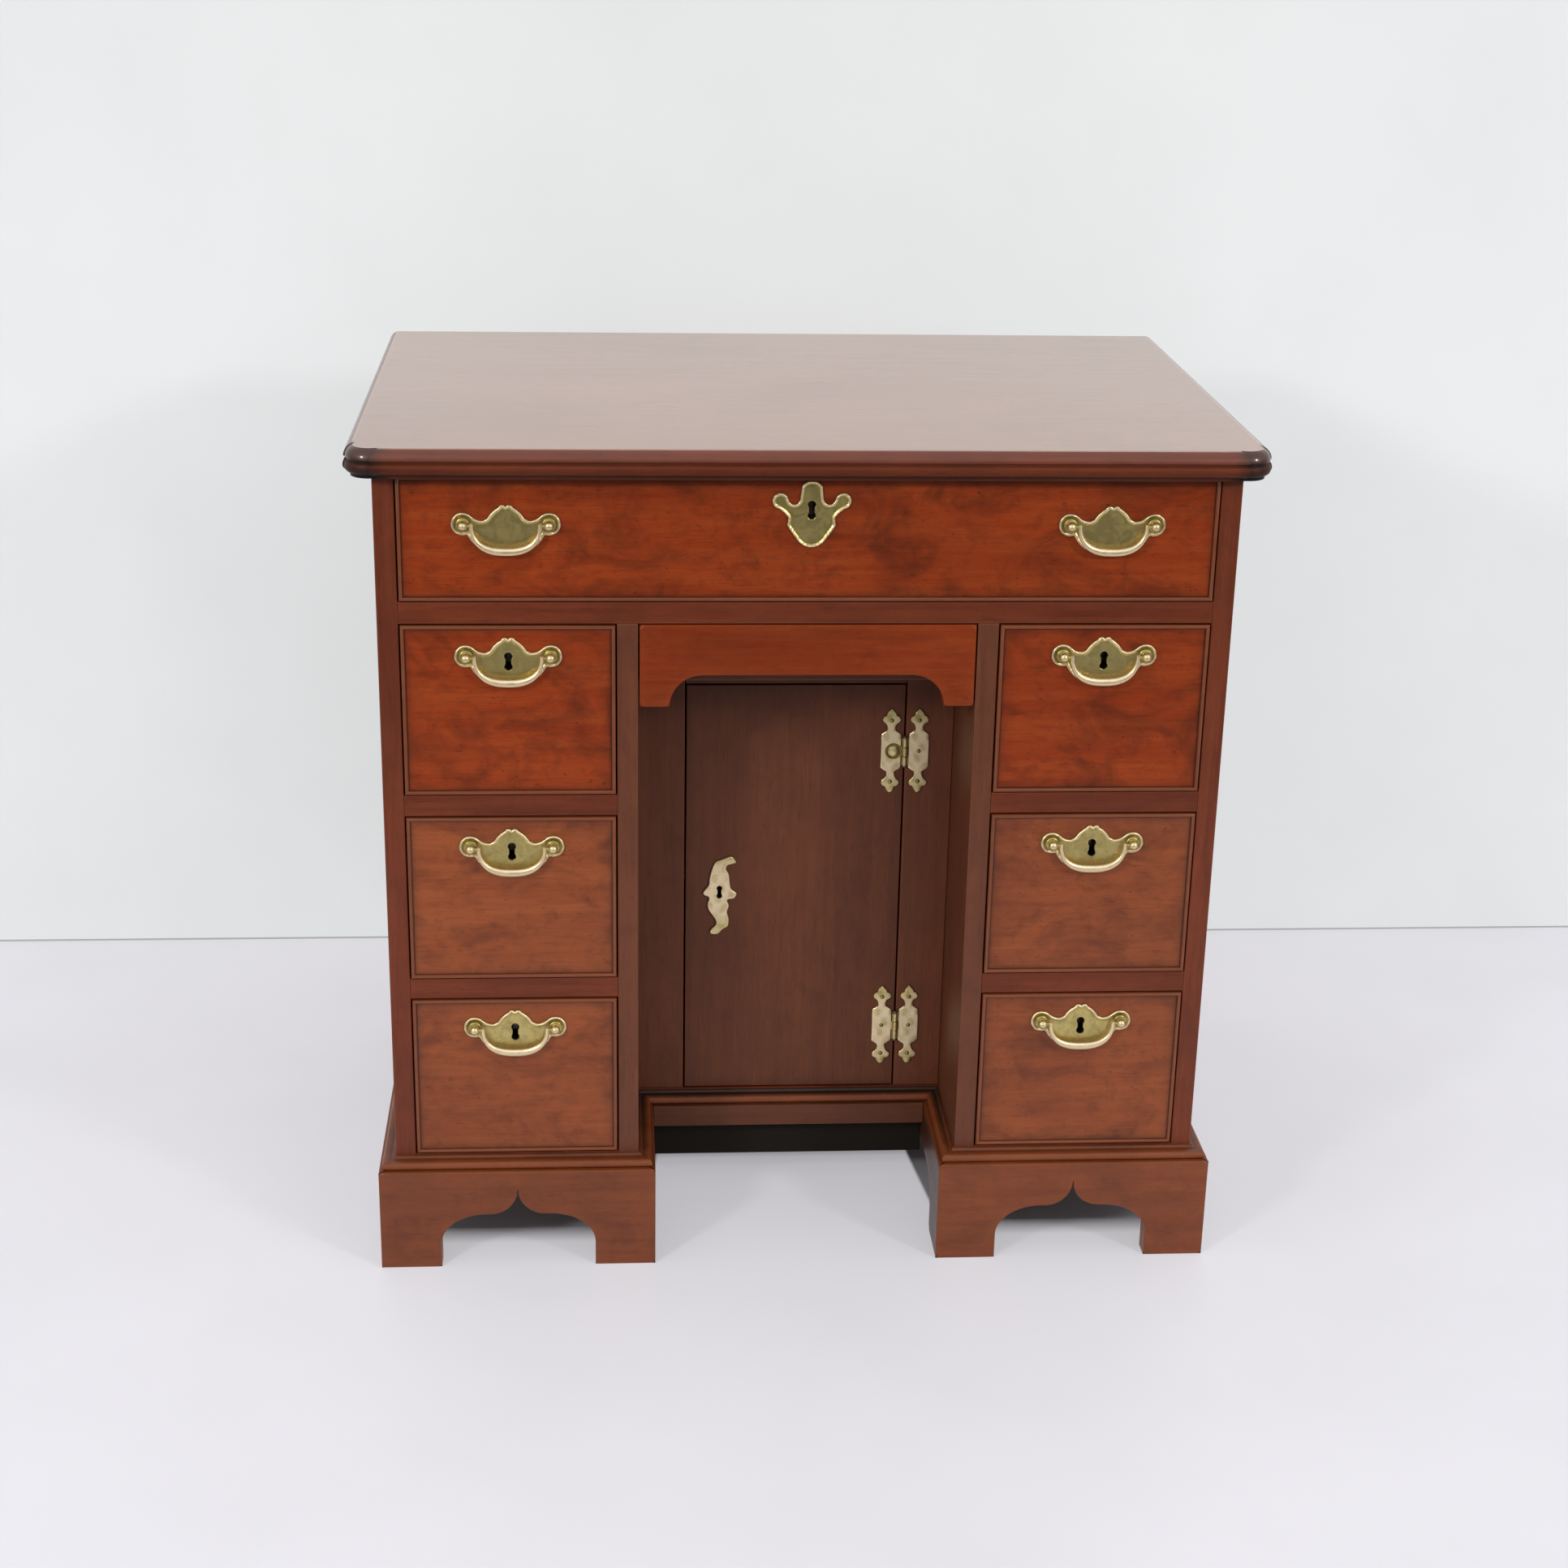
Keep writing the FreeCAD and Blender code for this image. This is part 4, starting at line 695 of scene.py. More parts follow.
def top_shape():
    """Rings of the outline, from the flat underside up the fillet, bead, groove and ovolo to the flat of the
    top: bead inset = d (1 - cos a), ovolo inset = w (1 - cos a) over a rise of h sin a. Painted shade darkens
    the corners, the fillet, the groove and the bead's lower half; a painted highlight lightens the bead's
    upper half and the middle of the ovolo. The long drawer's bolt has a mortise in the underside, painted
    dark inside as shade."""
    ovolo_low = TOP_HIGH - OVOLO_HIGH
    groove_low = ovolo_low - GROOVE_HIGH
    bead_low = groove_low - 2 * EDGE_BEAD
    soft = 0.6 * MM
    # The third number of each profile point is its wear, which paints light and shade on the edge: painted
    # shade on the fillet, in the groove and low on the bead, and a painted highlight high on the bead and
    # across the ovolo.
    profile = [(FILLET_DEEP, TOP_LOW, -0.5), (FILLET_DEEP, bead_low, -0.6)]
    for a in np.linspace(-math.pi / 2, math.pi / 2, 13):
        deep = FILLET_DEEP if a < 0 else GROOVE_DEEP
        level = bead_low + EDGE_BEAD * (1 + math.sin(a))
        profile.append((deep * (1 - math.cos(a)), level, 0.3 * math.sin(a) - 0.1))
    profile += [(GROOVE_DEEP, groove_low + soft, -0.3), (GROOVE_DEEP, ovolo_low - soft, -0.3)]
    for a in np.linspace(0, math.pi / 2, 12):
        profile.append((OVOLO_STEP + OVOLO_WIDE * (1 - math.cos(a)), ovolo_low + OVOLO_HIGH * math.sin(a),
                        0.5 * math.sin(2 * a) - 0.15))
    profile.append((OVOLO_STEP + OVOLO_WIDE + soft, TOP_HIGH, 0.0))
    rings, corners = zip(*(top_ring(inset, level) for inset, level, _ in profile))
    rings = np.stack(rings)
    rows, columns = rings.shape[:2]
    profile_light_and_shade = np.array([value for _, _, value in profile])[:, None]
    wear = np.where(np.stack(corners) > 0, np.minimum(profile_light_and_shade, 0) - CORNER_PAINTED_SHADE, profile_light_and_shade)
    wear[-2:] = 0
    rim, end = mortise("long_drawer")
    middle = np.mean(rim, axis=0)
    ray = rings[0, :, :2] - middle
    angle = np.arctan2(ray[:, 1], ray[:, 0])
    hole = middle + box_reach(angle, middle, *rim)[:, None] * np.column_stack([np.cos(angle), np.sin(angle)])
    sides = [np.column_stack([hole, np.full(columns, level)]) for level in (end, TOP_LOW)]
    rings = np.concatenate([sides, rings])
    # The mortise's walls are painted dark as shade.
    wear = np.concatenate([np.full((2, columns), -0.8), wear])
    rows += len(sides)
    return Shape().add(rings, quads(rows, columns, wrap_columns=True), wear, ends(rows, columns))


KEY_ROUND = 3.5 * MM
KEY_HALF = 4.9 * MM
KEY_WAIST = 2.4 * MM
DOOR_KEY_SIZE = 0.8


def key_reach(angle):
    """How far a keyhole reaches from its middle at each angle: two rounds and the slot that joins them."""
    ahead = np.stack([np.cos(angle), np.sin(angle)], axis=-1)
    side, end = np.maximum(np.abs(ahead), NO_LENGTH).T
    reach = np.minimum(KEY_WAIST / side, KEY_HALF / end)
    for lift in (KEY_HALF, -KEY_HALF):
        along = ahead[:, 1] * lift
        inside = along ** 2 - lift ** 2 + KEY_ROUND ** 2
        reach = np.maximum(reach, np.where(inside > 0, along + np.sqrt(np.maximum(inside, 0)), 0))
    return reach


def keyhole_line(size=1.0):
    """The keyhole's closed outline round its middle."""
    angle = np.linspace(0, 2 * math.pi, 64, endpoint=False)
    return size * key_reach(angle)[:, None] * np.stack([np.cos(angle), np.sin(angle)], axis=-1)


def box_reach(angle, middle, low, high):
    """How far a rectangle reaches from a point inside it at each angle."""
    across, upward = np.cos(angle), np.sin(angle)
    side = np.where(across > 0, high[0] - middle[0], middle[0] - low[0])
    end = np.where(upward > 0, high[1] - middle[1], middle[1] - low[1])
    across, upward = (np.maximum(np.abs(v), NO_LENGTH) for v in (across, upward))
    return np.minimum(side / across, end / upward)


def loops_round(middle, loops, size=1.0):
    """Flat points of loops that lie round one middle, in columns along the same rays, and their wear. Each
    loop is (rectangle or None for a keyhole, level, wear)."""
    corners = [math.atan2(z - middle[1], x - middle[0])
               for box, _, _ in loops if box for x in (box[0][0], box[1][0]) for z in (box[0][1], box[1][1])]
    even = np.linspace(-math.pi, math.pi, 96, endpoint=False)
    angle = np.unique(np.round(np.concatenate([even, corners]), 9))
    reach = np.stack([size * key_reach(angle) if box is None else box_reach(angle, middle, *box)
                      for box, _, _ in loops])
    levels, wear = (np.broadcast_to(np.array(row)[:, None], reach.shape) for row in list(zip(*loops))[1:])
    return middle[0] + reach * np.cos(angle), middle[1] + reach * np.sin(angle), levels, wear


def keyed_board(middle, loops, size=1.0):
    """A board with a keyhole through it: loops in x and z at levels of y, closed on themselves."""
    x, z, y, wear = loops_round(middle, loops, size)
    return Shape().add(np.stack([x, y, z], axis=-1), quads(*x.shape, wrap_rows=True, wrap_columns=True), wear)


MORTISE_ROOM = 0.5 * MM
BOLT_THROW = 8 * MM


def mortise(drawer):
    """The hole over a drawer's bolt: its rectangle in plan and its upper end."""
    low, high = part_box(f"{drawer}_bolt")
    return grown(((low.x, low.y), (high.x, high.y)), MORTISE_ROOM), high.z + BOLT_THROW + MORTISE_ROOM


def mortised_rail(low, high, hole, soft):
    """A rail with softened long edges and a hole up into it: loops in x and y at levels of z, from the end of
    the hole down and over the lower face to the upper face."""
    rim, end = hole
    middle = np.mean(rim, axis=0)

    def outline(inset):
        return (low[0], low[1] + inset), (high[0], high[1] - inset)

    # Painted shade: the hole's walls and its mouth are darkened.
    x, y, z, wear = loops_round(middle, [
        (rim, end, -1.0), (rim, low[2], -0.8), (grown(rim, 3 * MORTISE_ROOM), low[2], 0.0),
        (outline(soft), low[2], 0.4), (outline(0.3 * soft), low[2] + 0.3 * soft, 0.9),
        (outline(0), low[2] + soft, 0.4), (outline(0), low[2] + 3 * soft, 0.0),
        (outline(0), high[2] - 3 * soft, 0.0), (outline(0), high[2] - soft, 0.4),
        (outline(0.3 * soft), high[2] - 0.3 * soft, 0.9), (outline(soft), high[2], 0.4),
    ])
    return np.stack([x, y, z], axis=-1), quads(*x.shape, wrap_columns=True), wear, ends(*x.shape)


def with_mirror(points, faces, wear, caps):
    """A half that ends at x = 0 and its mirror image, as one surface without the faces where they meet."""
    points = points.reshape(-1, 3)
    kept = [face for face in (*faces, *caps) if np.abs(points[face, 0]).max() > MORTISE_ROOM]
    mirrored = [face[::-1] + len(points) for face in kept]
    return np.concatenate([points, points * (-1, 1, 1)]), kept + mirrored, np.tile(np.ravel(wear), 2)


def grown(box, by):
    """A rectangle made larger on every side."""
    (low_x, low_z), (high_x, high_z) = box
    return (low_x - by, low_z - by), (high_x + by, high_z + by)


def drawer_board(box, key):
    """Front of a drawer inside its cock beads, with a rebate that takes them and a keyhole."""
    field = grown(box, -BEAD_WIDE)
    # Painted shade: the keyhole's tunnel goes to near black, and the field darkens in steps towards the
    # rebate and down its wall to the cock beads.
    return keyed_board(key, [
        (None, FRONT, -1.0), (grown(key_box(key), 1.2 * MM), FRONT, 0.0),
        (grown(field, -13 * MM), FRONT, 0.0), (grown(field, -4.5 * MM), FRONT, -0.12),
        (grown(field, -1.3 * MM), FRONT, -0.32), (field, FRONT, -0.8), (field, FRONT + BEAD_DEEP, -0.5),
        (box, FRONT + BEAD_DEEP, 0.0), (box, FRONT + FRONT_THICK, 0.0), (None, FRONT + FRONT_THICK, -1.0),
    ])


def key_box(key):
    """The rectangle just round a keyhole."""
    side = KEY_ROUND
    end = KEY_HALF + KEY_ROUND
    return (key[0] - side, key[1] - end), (key[0] + side, key[1] + end)


def bead_shape(box):
    """Cock bead: a strip with a half-round nose, carried round the drawer front with mitred corners."""
    nose = arc((BEAD_WIDE / 2, BEAD_WIDE / 2 - BEAD_PROUD), BEAD_WIDE / 2, 180, 360, 9)
    profile = np.concatenate([[[0, BEAD_DEEP]], nose, [[BEAD_WIDE, BEAD_DEEP]]])
    # The nose is lightened as wear and as a painted highlight; each foot, in the crease against the rebate,
    # is darkened as painted shade.
    wear = np.concatenate([[-0.6], 0.75 * np.sin(np.linspace(0, math.pi, 9)) ** 0.5, [-0.6]])
    (low_x, low_z), (high_x, high_z) = box
    path = [(low_x, FRONT, low_z), (high_x, FRONT, low_z), (high_x, FRONT, high_z), (low_x, FRONT, high_z)]
    inward = [(1, 0, 1), (-1, 0, 1), (-1, 0, -1), (1, 0, -1)]
    return Shape().add(*sweep(profile, path, inward, (0, 1, 0), wear, closed=True))


LINING = 9 * MM
DRAWER_BACK = 8 * MM
DRAWER_FLOOR = 6 * MM
FLOOR_RISE = 6 * MM
LINING_DROP = 5 * MM
SIDE_GAP = 1.0 * MM
RUN_GAP = 0.3 * MM
DRAWER_END = FRONT + 498 * MM
HIGH_ROW = BANK_FLOOR + 2 * SHORT_HIGH


def lining_boxes(low_x, high_x, low_z, height):
    """Sides, then bottom and back, of a drawer."""
    low_x, high_x = low_x + SIDE_GAP, high_x - SIDE_GAP
    top = low_z + height - LINING_DROP
    low_z = low_z + RUN_GAP
    start = FRONT + FRONT_THICK
    floor_low = low_z + FLOOR_RISE
    floor_high = floor_low + DRAWER_FLOOR
    sides = [((x, start, low_z), (x + LINING, DRAWER_END, top)) for x in (low_x, high_x - LINING)]
    left, right = low_x + LINING, high_x - LINING
    bottom = (left, start, floor_low), (right, DRAWER_END, floor_high)
    back = (left, DRAWER_END - DRAWER_BACK, floor_high), (right, DRAWER_END, top - FLOOR_RISE)
    return sides, [bottom, back]


def every_drawer():
    """Name, opening and key position of each drawer with a lock: the long one, then the two banks."""
    drawers = [("long_drawer", -INNER, INNER, LONG_LOW, LONG_HIGH, (0.0, LONG_LOW + LONG_HIGH - LONG_KEY))]
    for word, side in SIDES:
        low_x, high_x = sorted((side * BANK, side * INNER))
        for level, height_word in enumerate(LEVELS):
            low_z = BANK_FLOOR + level * (SHORT_HIGH + BLADE)
            key = (side * BANK_MIDDLE, low_z + SHORT_HIGH - SHORT_POSTS - KEY_HALF)
            drawers.append((f"{word}_{height_word}_drawer", low_x, high_x, low_z, SHORT_HIGH, key))
    return drawers


def every_handle():
    """Drawer, bail node, place between the posts, and whether the plate has a keyhole, of each handle."""
    handles = []
    for name, low_x, high_x, low_z, height, _ in every_drawer():
        if name == "long_drawer":
            z = low_z + height - LONG_POSTS
            handles += [(name, f"{name}_{word}_bail", side * BANK_MIDDLE, z, False) for word, side in SIDES]
        else:
            handles.append((name, f"{name}_bail", (low_x + high_x) / 2, low_z + height - SHORT_POSTS, True))
    return handles


def bow(start, middle, end, steps=12):
    """Points of the arc through three points, without its last one."""
    a, b, c = (complex(*p) for p in (start, middle, end))
    w = (c - a) / (b - a)
    centre = (b - a) * (w - abs(w) ** 2) / (2j * w.imag) + a
    first = np.angle(a - centre)
    sweep_all = np.angle((c - centre) / (a - centre))
    sweep_part = np.angle((b - centre) / (a - centre))
    if sweep_all * sweep_part < 0 or abs(sweep_part) > abs(sweep_all):
        sweep_all -= math.copysign(2 * math.pi, sweep_all)
    angle = first + sweep_all * np.linspace(0, 1, steps, endpoint=False)
    points = centre + abs(a - centre) * np.exp(1j * angle)
    return np.column_stack([points.real, points.imag])


def half_line(start, steps):
    """A line of straight runs and arcs from its start: a step is (end,) or (through, end)."""
    here, parts = start, []
    for step in steps:
        parts.append(np.array([here], float) if len(step) == 1 else bow(here, step[0], step[1]))
        here = step[-1]
    return np.concatenate(parts + [np.array([here], float)])


def both_halves(line):
    """A half outline from the middle top to the middle bottom, closed by its mirror image, in metres."""
    return np.concatenate([line, (line * (-1, 1))[::-1][1:-1]]) * MM


def handle_line():
    """Outline of a handle plate: an ogee peak with a nick in it, an ear at each post and a bowed foot."""
    span, ear, peak, drop = POST_SPAN / MM / 2, 10.5, 17.5, 27.0
    return spaced(both_halves(half_line((0, peak * 0.91), [
        ((-span * 0.07, peak), (-span * 0.17, peak * 0.86)),
        ((-span * 0.3, peak * 0.66), (-span * 0.44, peak * 0.28)),
        ((-span * 0.53, peak * 0.2),),
        ((-span * 0.7, peak * 0.27), (-span + 0.56 * ear, 0.83 * ear)),
        ((-span - ear, 0), (-span + 0.36 * ear, -0.93 * ear)),
        ((-span * 0.74, -drop * 0.68), (-span * 0.45, -drop * 0.93)),
        ((-span * 0.24, -drop * 0.985), (0, -drop)),
    ])), 1.0 * MM)


def key_plate_line():
    """Outline of the long drawer's key plate: a top lobe, two round ears, shoulders and a round foot."""
    return spaced(both_halves(half_line((0, 26.4), [
        ((-7.2, 24), (-9.5, 17.5)),
        ((-10.6, 9.4),),
        ((-15, 5.4), (-20.4, 9.6)),
        ((-34.8, 9.6), (-29.4, 1.2)),
        ((-24, -2.8), (-20.6, -7)),
        ((-21.6, -13.5),),
        ((-18, -19.2), (-13.4, -25.4)),
        ((-7.4, -31.6), (0, -33.7)),
    ])), 0.9 * MM)


def scroll_line():
    """Outline of the door's key plate: an S-scroll with a leaf at each end."""
    return spaced(through(np.array([
        (10.9, 37.4), (16.5, 31), (12.6, 29.2), (7.6, 27.6), (6.8, 23.6), (9.6, 17.8), (10.4, 9.8),
        (12.1, 2.9), (17.1, -1.7), (14.4, -6.9), (8, -8.5), (9.8, -14.4), (8, -21.3), (9.8, -28.2),
        (9, -36.2), (3.7, -39.7), (-1.3, -44.8), (-8.6, -44.3), (-8.8, -39.9), (-3.6, -33.8), (-5, -27.8),
        (-10.8, -19), (-12, -12), (-10.6, -6), (-15.7, -2.9), (-16, 0.6), (-11, 7.5), (-10.3, 14.4),
        (-7.8, 24.7), (-4.7, 31.4), (1.5, 34),
    ]) * MM, 8), 0.9 * MM)


def leaf_line():
    """Outline of a hinge leaf: a straight body with a cut finial at each end."""
    body, wide, finial = 14.0, 10.0, 29.0
    line = half_line((0, body + finial), [
        ((-wide * 0.34, body + finial * 0.9), (-wide * 0.5, body + finial * 0.76)),
        ((-wide * 0.9, body + finial * 0.64), (-wide * 0.66, body + finial * 0.5)),
        ((-wide * 0.46, body + finial * 0.4), (-wide * 0.44, body + finial * 0.24)),
        ((-wide * 0.7, body + finial * 0.18), (-wide, body + finial * 0.1)),
        ((-wide, 0),),
    ])
    whole = np.concatenate([line, (line * (1, -1))[::-1][1:]])
    return spaced(both_halves(whole), 0.8 * MM)


PEARL_EACH = 3.6 * MM
PEARL_TURN = 27 * MM
HANDLE_RIM = 2.6 * MM
KEY_PLATE_RIM = 2.2 * MM
SCROLL_RIM = 1.3 * MM
LEAF_RIM = 1.2 * MM
CUT_PLATE_HIGH = 1.9 * MM

# Spacing of the points inside a plate, and how far in from its outline rows of points follow it
RIMMED_NET = 1.9 * MM
RIMMED_ROWS = (0.4 * MM, 0.8 * MM, 1.4 * MM, 2.1 * MM, 2.8 * MM, 3.4 * MM)
SCROLL_NET = 1.7 * MM
SCROLL_ROWS = (0.6 * MM, 1.3 * MM)
LEAF_NET = 1.8 * MM
LEAF_ROWS = (0.6 * MM,)
PLINTH_NET = 14 * MM
APRON_NET = 10 * MM


def rimmed(rim_wide):
    """Height of a stamped plate: a raised bright rim with faint pearls along the outline, and a dished field
    inside it."""
    edges = bpy.context.scene.desk_edges
    high, low = edges.rim_high, edges.field_high

    def height(points, gaps):
        rim = rise_between(gaps[0], [
            (0, 0.55 * high), (0.3 * rim_wide, 0.93 * high), (0.55 * rim_wide, high),
            (0.8 * rim_wide, 0.9 * high), (1.3 * rim_wide, low), (1, low)])
        wear = rise_between(gaps[0], [
            (0, 0.5), (0.3 * rim_wide, 0.8), (0.8 * rim_wide, 0.75), (1.25 * rim_wide, -0.1),
            (1.9 * rim_wide, 0.12), (1, 0.3)])
        around = np.arctan2(points[:, 1], points[:, 0]) * PEARL_TURN / PEARL_EACH
        pearls = 0.5 + 0.5 * np.sin(2 * math.pi * around)
        rim = rim - np.where(gaps[0] < rim_wide, 0.2 * (high - low) * pearls, 0)
        wear = wear - np.where(gaps[0] < rim_wide, 0.35 * pearls, 0)
        for gap in gaps[1:]:
            lip = np.clip(1 - gap / (0.8 * MM), 0, 1)
            rim = rim - lip ** 2 * 0.3 * MM
            wear = np.where(lip > 0, 0.3 - 1.3 * lip, wear)
        return rim, wear
    return height


def chased(rim_wide):
    """Height of a flat cut plate with a bevelled edge and faint chased hollows."""
    high = CUT_PLATE_HIGH

    def height(points, gaps):
        edge = rise_between(gaps[0], [
            (0, 0.5 * high), (0.5 * rim_wide, 0.95 * high), (rim_wide, high), (1, high)])
        across, along = points.T / MM
        wave = np.sin(across / 2.3 + 0.9 * np.sin(along / 6.1))
        wave = wave * np.sin(along / 3.3 + 0.7 * np.cos(across / 4.7))
        inner = np.clip((gaps[0] - rim_wide) / rim_wide, 0, 1)
        brink = np.clip(1 - gaps[0] / (0.6 * rim_wide), 0, 1)
        tips = np.clip((np.abs(along) - 20) / 18, 0, 1)
        wear = 0.8 - 0.4 * inner * np.clip(wave / 0.5, 0, 1) - 0.6 * brink - 0.45 * tips
        return edge + wave * inner * 0.12 * MM, wear
    return height


def on_wood(parts, x, y, z):
    """Puts a plate's (points, faces, wear) on the wood at a place."""
    points, faces, wear = parts
    return points + (x, y, z), faces, wear


def post_shape(shape, x, z):
    """A turned post: collar, neck and ball, along the line out of the drawer."""
    ball = arc((0, POST_REACH / MM), 4.4, -52, 90, 12)
    collar = arc((4.9, 2.5), 1.3, -60, 90, 6)
    profile = np.concatenate([[[5.4, 0.9]], collar, [[3.4, 3.9]], ball])
    profile[:, 0] = np.maximum(profile[:, 0], 0.08)
    wear = np.linspace(-0.3, 0.6, len(profile))
    shape.add(*lathe(profile, (x, FRONT, z), OUT, ACROSS, 24, wear))


BAIL_HALF = 29.9 * MM
BAIL_LOW = 23.5 * MM
BAIL_TOP = 1.8 * MM
BAIL_SQUARE = 0.8
BAIL_PIN = [(0.3, 0), (1.75, 0.3), (1.75, 11), (0.3, 11.3)]


def bail_shape(x, z):
    """A bail: an oval section carried along half a squared ellipse, thin at the posts and thick in the
    middle, with a pin at each end."""
    swing = np.linspace(-math.pi / 2, math.pi / 2, 49)
    across = np.sign(swing) * np.abs(np.sin(swing)) ** BAIL_SQUARE * BAIL_HALF
    down = BAIL_TOP - (BAIL_TOP + BAIL_LOW) * np.abs(np.cos(swing)) ** BAIL_SQUARE
    line = np.column_stack([across, down])
    ahead = np.gradient(line, axis=0)
    ahead /= np.linalg.norm(ahead, axis=1, keepdims=True)
    normal = np.column_stack([-ahead[:, 1], ahead[:, 0]])
    middle = np.cos(swing) ** 2
    wide = (1.7 + 1.8 * middle) * MM
    deep = (1.9 + 0.35 * middle) * MM
    angle = np.linspace(0, 2 * math.pi, 20, endpoint=False)
    spread = wide[:, None] * np.cos(angle)
    points = np.stack([
        x + line[:, :1] + spread * normal[:, :1],
        FRONT - POST_REACH + deep[:, None] * np.sin(angle),
        z + line[:, 1:] + spread * normal[:, 1:],
    ], axis=-1)
    size = points.shape[:2]
    wear = np.broadcast_to(0.75 + 0.25 * np.cos(angle), size)
    shape = Shape().add(points, quads(*size, wrap_columns=True), wear, ends(*size))
    for side in (-1, 1):
        start = (x + side * (BAIL_HALF - 1.0 * MM), FRONT - POST_REACH, z)
        shape.add(*lathe(BAIL_PIN, start, (side, 0, 0), UP, 16))
    return shape


LOCK_HALF = 23 * MM
LOCK_HIGH = 38 * MM
LOCK_SUNK = 6 * MM
LOCK_PROUD = 0.8 * MM
LOCK_LIFT = 0.05 * MM
NUT_HALF = 4.5 * MM
NUT_HIGH = 3 * MM
FOOT = 57.5
ARCH = 56.0
SHOULDER_WIDE = 43.0
SHOULDER_HIGH = 31.0
ARCH_POINT = 82.0
PLINTH_THICK = 20 * MM
PLINTH_PROUD = 16 * MM
PLINTH_ROUND = 1.2 * MM
PLINTH_RAIL_HIGH = 22 * MM


def bracket_line(length_mm, pointed):
    """Outline of a plinth board, in mm from its middle: two feet, an arch with elliptical shoulders
    (x = w (1 - cos a), z = h sin a), and a point on a front board."""
    half, high = length_mm / 2, PLINTH_HIGH / MM
    rise = ARCH_POINT - ARCH
    bend = rise * math.sqrt(0.5)
    steps = [((-half, high),), ((-half, 0),), ((-half + FOOT, 0),)]
    for a in np.linspace(0, math.pi / 2, 17):
        steps.append(((-half + FOOT + SHOULDER_WIDE * (1 - math.cos(a)),
                       ARCH - SHOULDER_HIGH * (1 - math.sin(a))),))
    if pointed:
        steps += [((-rise, ARCH),), ((-rise + bend, ARCH + rise - bend), (0, ARCH + rise))]
    else:
        steps += [((0, ARCH),)]
    return both_halves(half_line((0, high), steps))


def eased(thick, soft):
    """Height of a plain board: flat, with softened edges."""
    def height(points, gaps):
        away_from = np.min(gaps, axis=0)
        rise = rise_between(away_from, [
            (0, thick - soft), (0.4 * soft, thick - 0.25 * soft), (soft, thick), (10, thick)])
        wear = rise_between(away_from, [(0, 0.9), (soft, 0.35), (2.5 * soft, 0), (10, 0)])
        return rise, wear
    return height


def bracket_board(length_m, pointed, mitres):
    """A plinth board with its face towards -y: its back is drawn in at each mitred end, over the width of
    the foot."""
    line = spaced_corners(bracket_line(length_m / MM, pointed), 6 * MM)
    rows = (0.5 * MM, PLINTH_ROUND)
    points, faces, wear = plate(line, [], eased(PLINTH_THICK, PLINTH_ROUND), PLINTH_NET, rows)
    count = len(points) // 2
    back = points[count:]
    for side, mitred in zip((-1, 1), mitres):
        inside = length_m / 2 - side * back[:, 0]
        pull = np.clip(1 - inside / (FOOT * MM), 0, 1) * PLINTH_THICK * mitred
        back[:, 0] -= side * pull
    return points, faces, wear


def spaced_corners(line, step):
    """A closed line with long runs divided, and every point that it has kept."""
    runs = np.roll(line, -1, axis=0) - line
    counts = np.maximum(1, np.round(np.linalg.norm(runs, axis=1) / step)).astype(int)
    which = np.repeat(np.arange(len(line)), counts)
    part = (np.arange(len(which)) - np.repeat(np.cumsum(counts) - counts, counts)) / counts[which]
    return line[which] + part[:, None] * runs[which]


# Painted shade in the kneehole: how much darker the moulding and the plinth returns there are.
KNEE_PAINTED_SHADE = 0.7


def moulding_shape():
    """Base moulding: a half-round bead under a small hollow, carried along the case sides, the bank fronts,
    the kneehole and the cupboard front, with mitred corners. It is painted darker in the kneehole, as shade
    that deepens towards the cupboard."""
    proud, high, bead = 13 * MM, 11 * MM, 8.5 * MM
    neck, hollow = proud - bead, high - bead
    nose = arc((proud - bead / 2, bead / 2), bead / 2, -90, 90, 11)
    scoop = arc((neck, high), hollow, 270, 180, 5)
    profile = np.concatenate([[[0, 0]], nose, [[neck + 0.4 * MM, bead]], scoop, [[0, high]]])
    # The bead's crest is lightened as wear and as a painted highlight; the quirk and the hollow above it are
    # darkened as painted shade.
    rubbed = 0.2 + 0.7 * np.sin(np.linspace(0, math.pi, len(nose)))
    wear = np.concatenate([[0], rubbed, [-0.5], np.full(len(scoop), -0.2), [0]])
    z = PLINTH_HIGH
    path = [(-HALF, BACK, z), (-HALF, FRONT, z), (-KNEE, FRONT, z), (-KNEE, RECESS, z),
            (KNEE, RECESS, z), (KNEE, FRONT, z), (HALF, FRONT, z), (HALF, BACK, z)]
    out = [(-1, 0, 0), (-1, -1, 0), (1, -1, 0), (1, -1, 0), (-1, -1, 0), (-1, -1, 0), (1, -1, 0), (1, 0, 0)]
    points, faces, wear, caps = sweep(profile, path, out, UP, wear)
    # Painted shade in the kneehole, deepening towards the cupboard.
    in_kneehole = np.abs(points[..., 0]) <= KNEE + SAME_PLACE
    deep = np.clip((points[..., 1] - FRONT) / (RECESS - FRONT), 0, 1) * in_kneehole
    return Shape().add(points, faces, wear - KNEE_PAINTED_SHADE * deep, caps)


EAR_DROP = 29.5
EAR_WIDE = 27.0
APRON_LIFT = 1.5


def apron_line():
    """Outline of the apron drawer's front, over the soffit: an ear at each end and a hollow beside it."""
    wide, top = (KNEE - DRAWER_GAP) / MM, (APRON_HIGH - DRAWER_GAP) / MM
    low, foot = APRON_LIFT - EAR_DROP, (KNEE - DRAWER_GAP) / MM - EAR_WIDE
    turn = EAR_DROP * (1 - math.sqrt(0.5))
    return both_halves(half_line((0, top), [
        ((-wide, top),), ((-wide, low),), ((-foot, low),),
        ((-foot + turn, APRON_LIFT - turn), (-foot + EAR_DROP, APRON_LIFT)), ((0, APRON_LIFT),),
    ]))


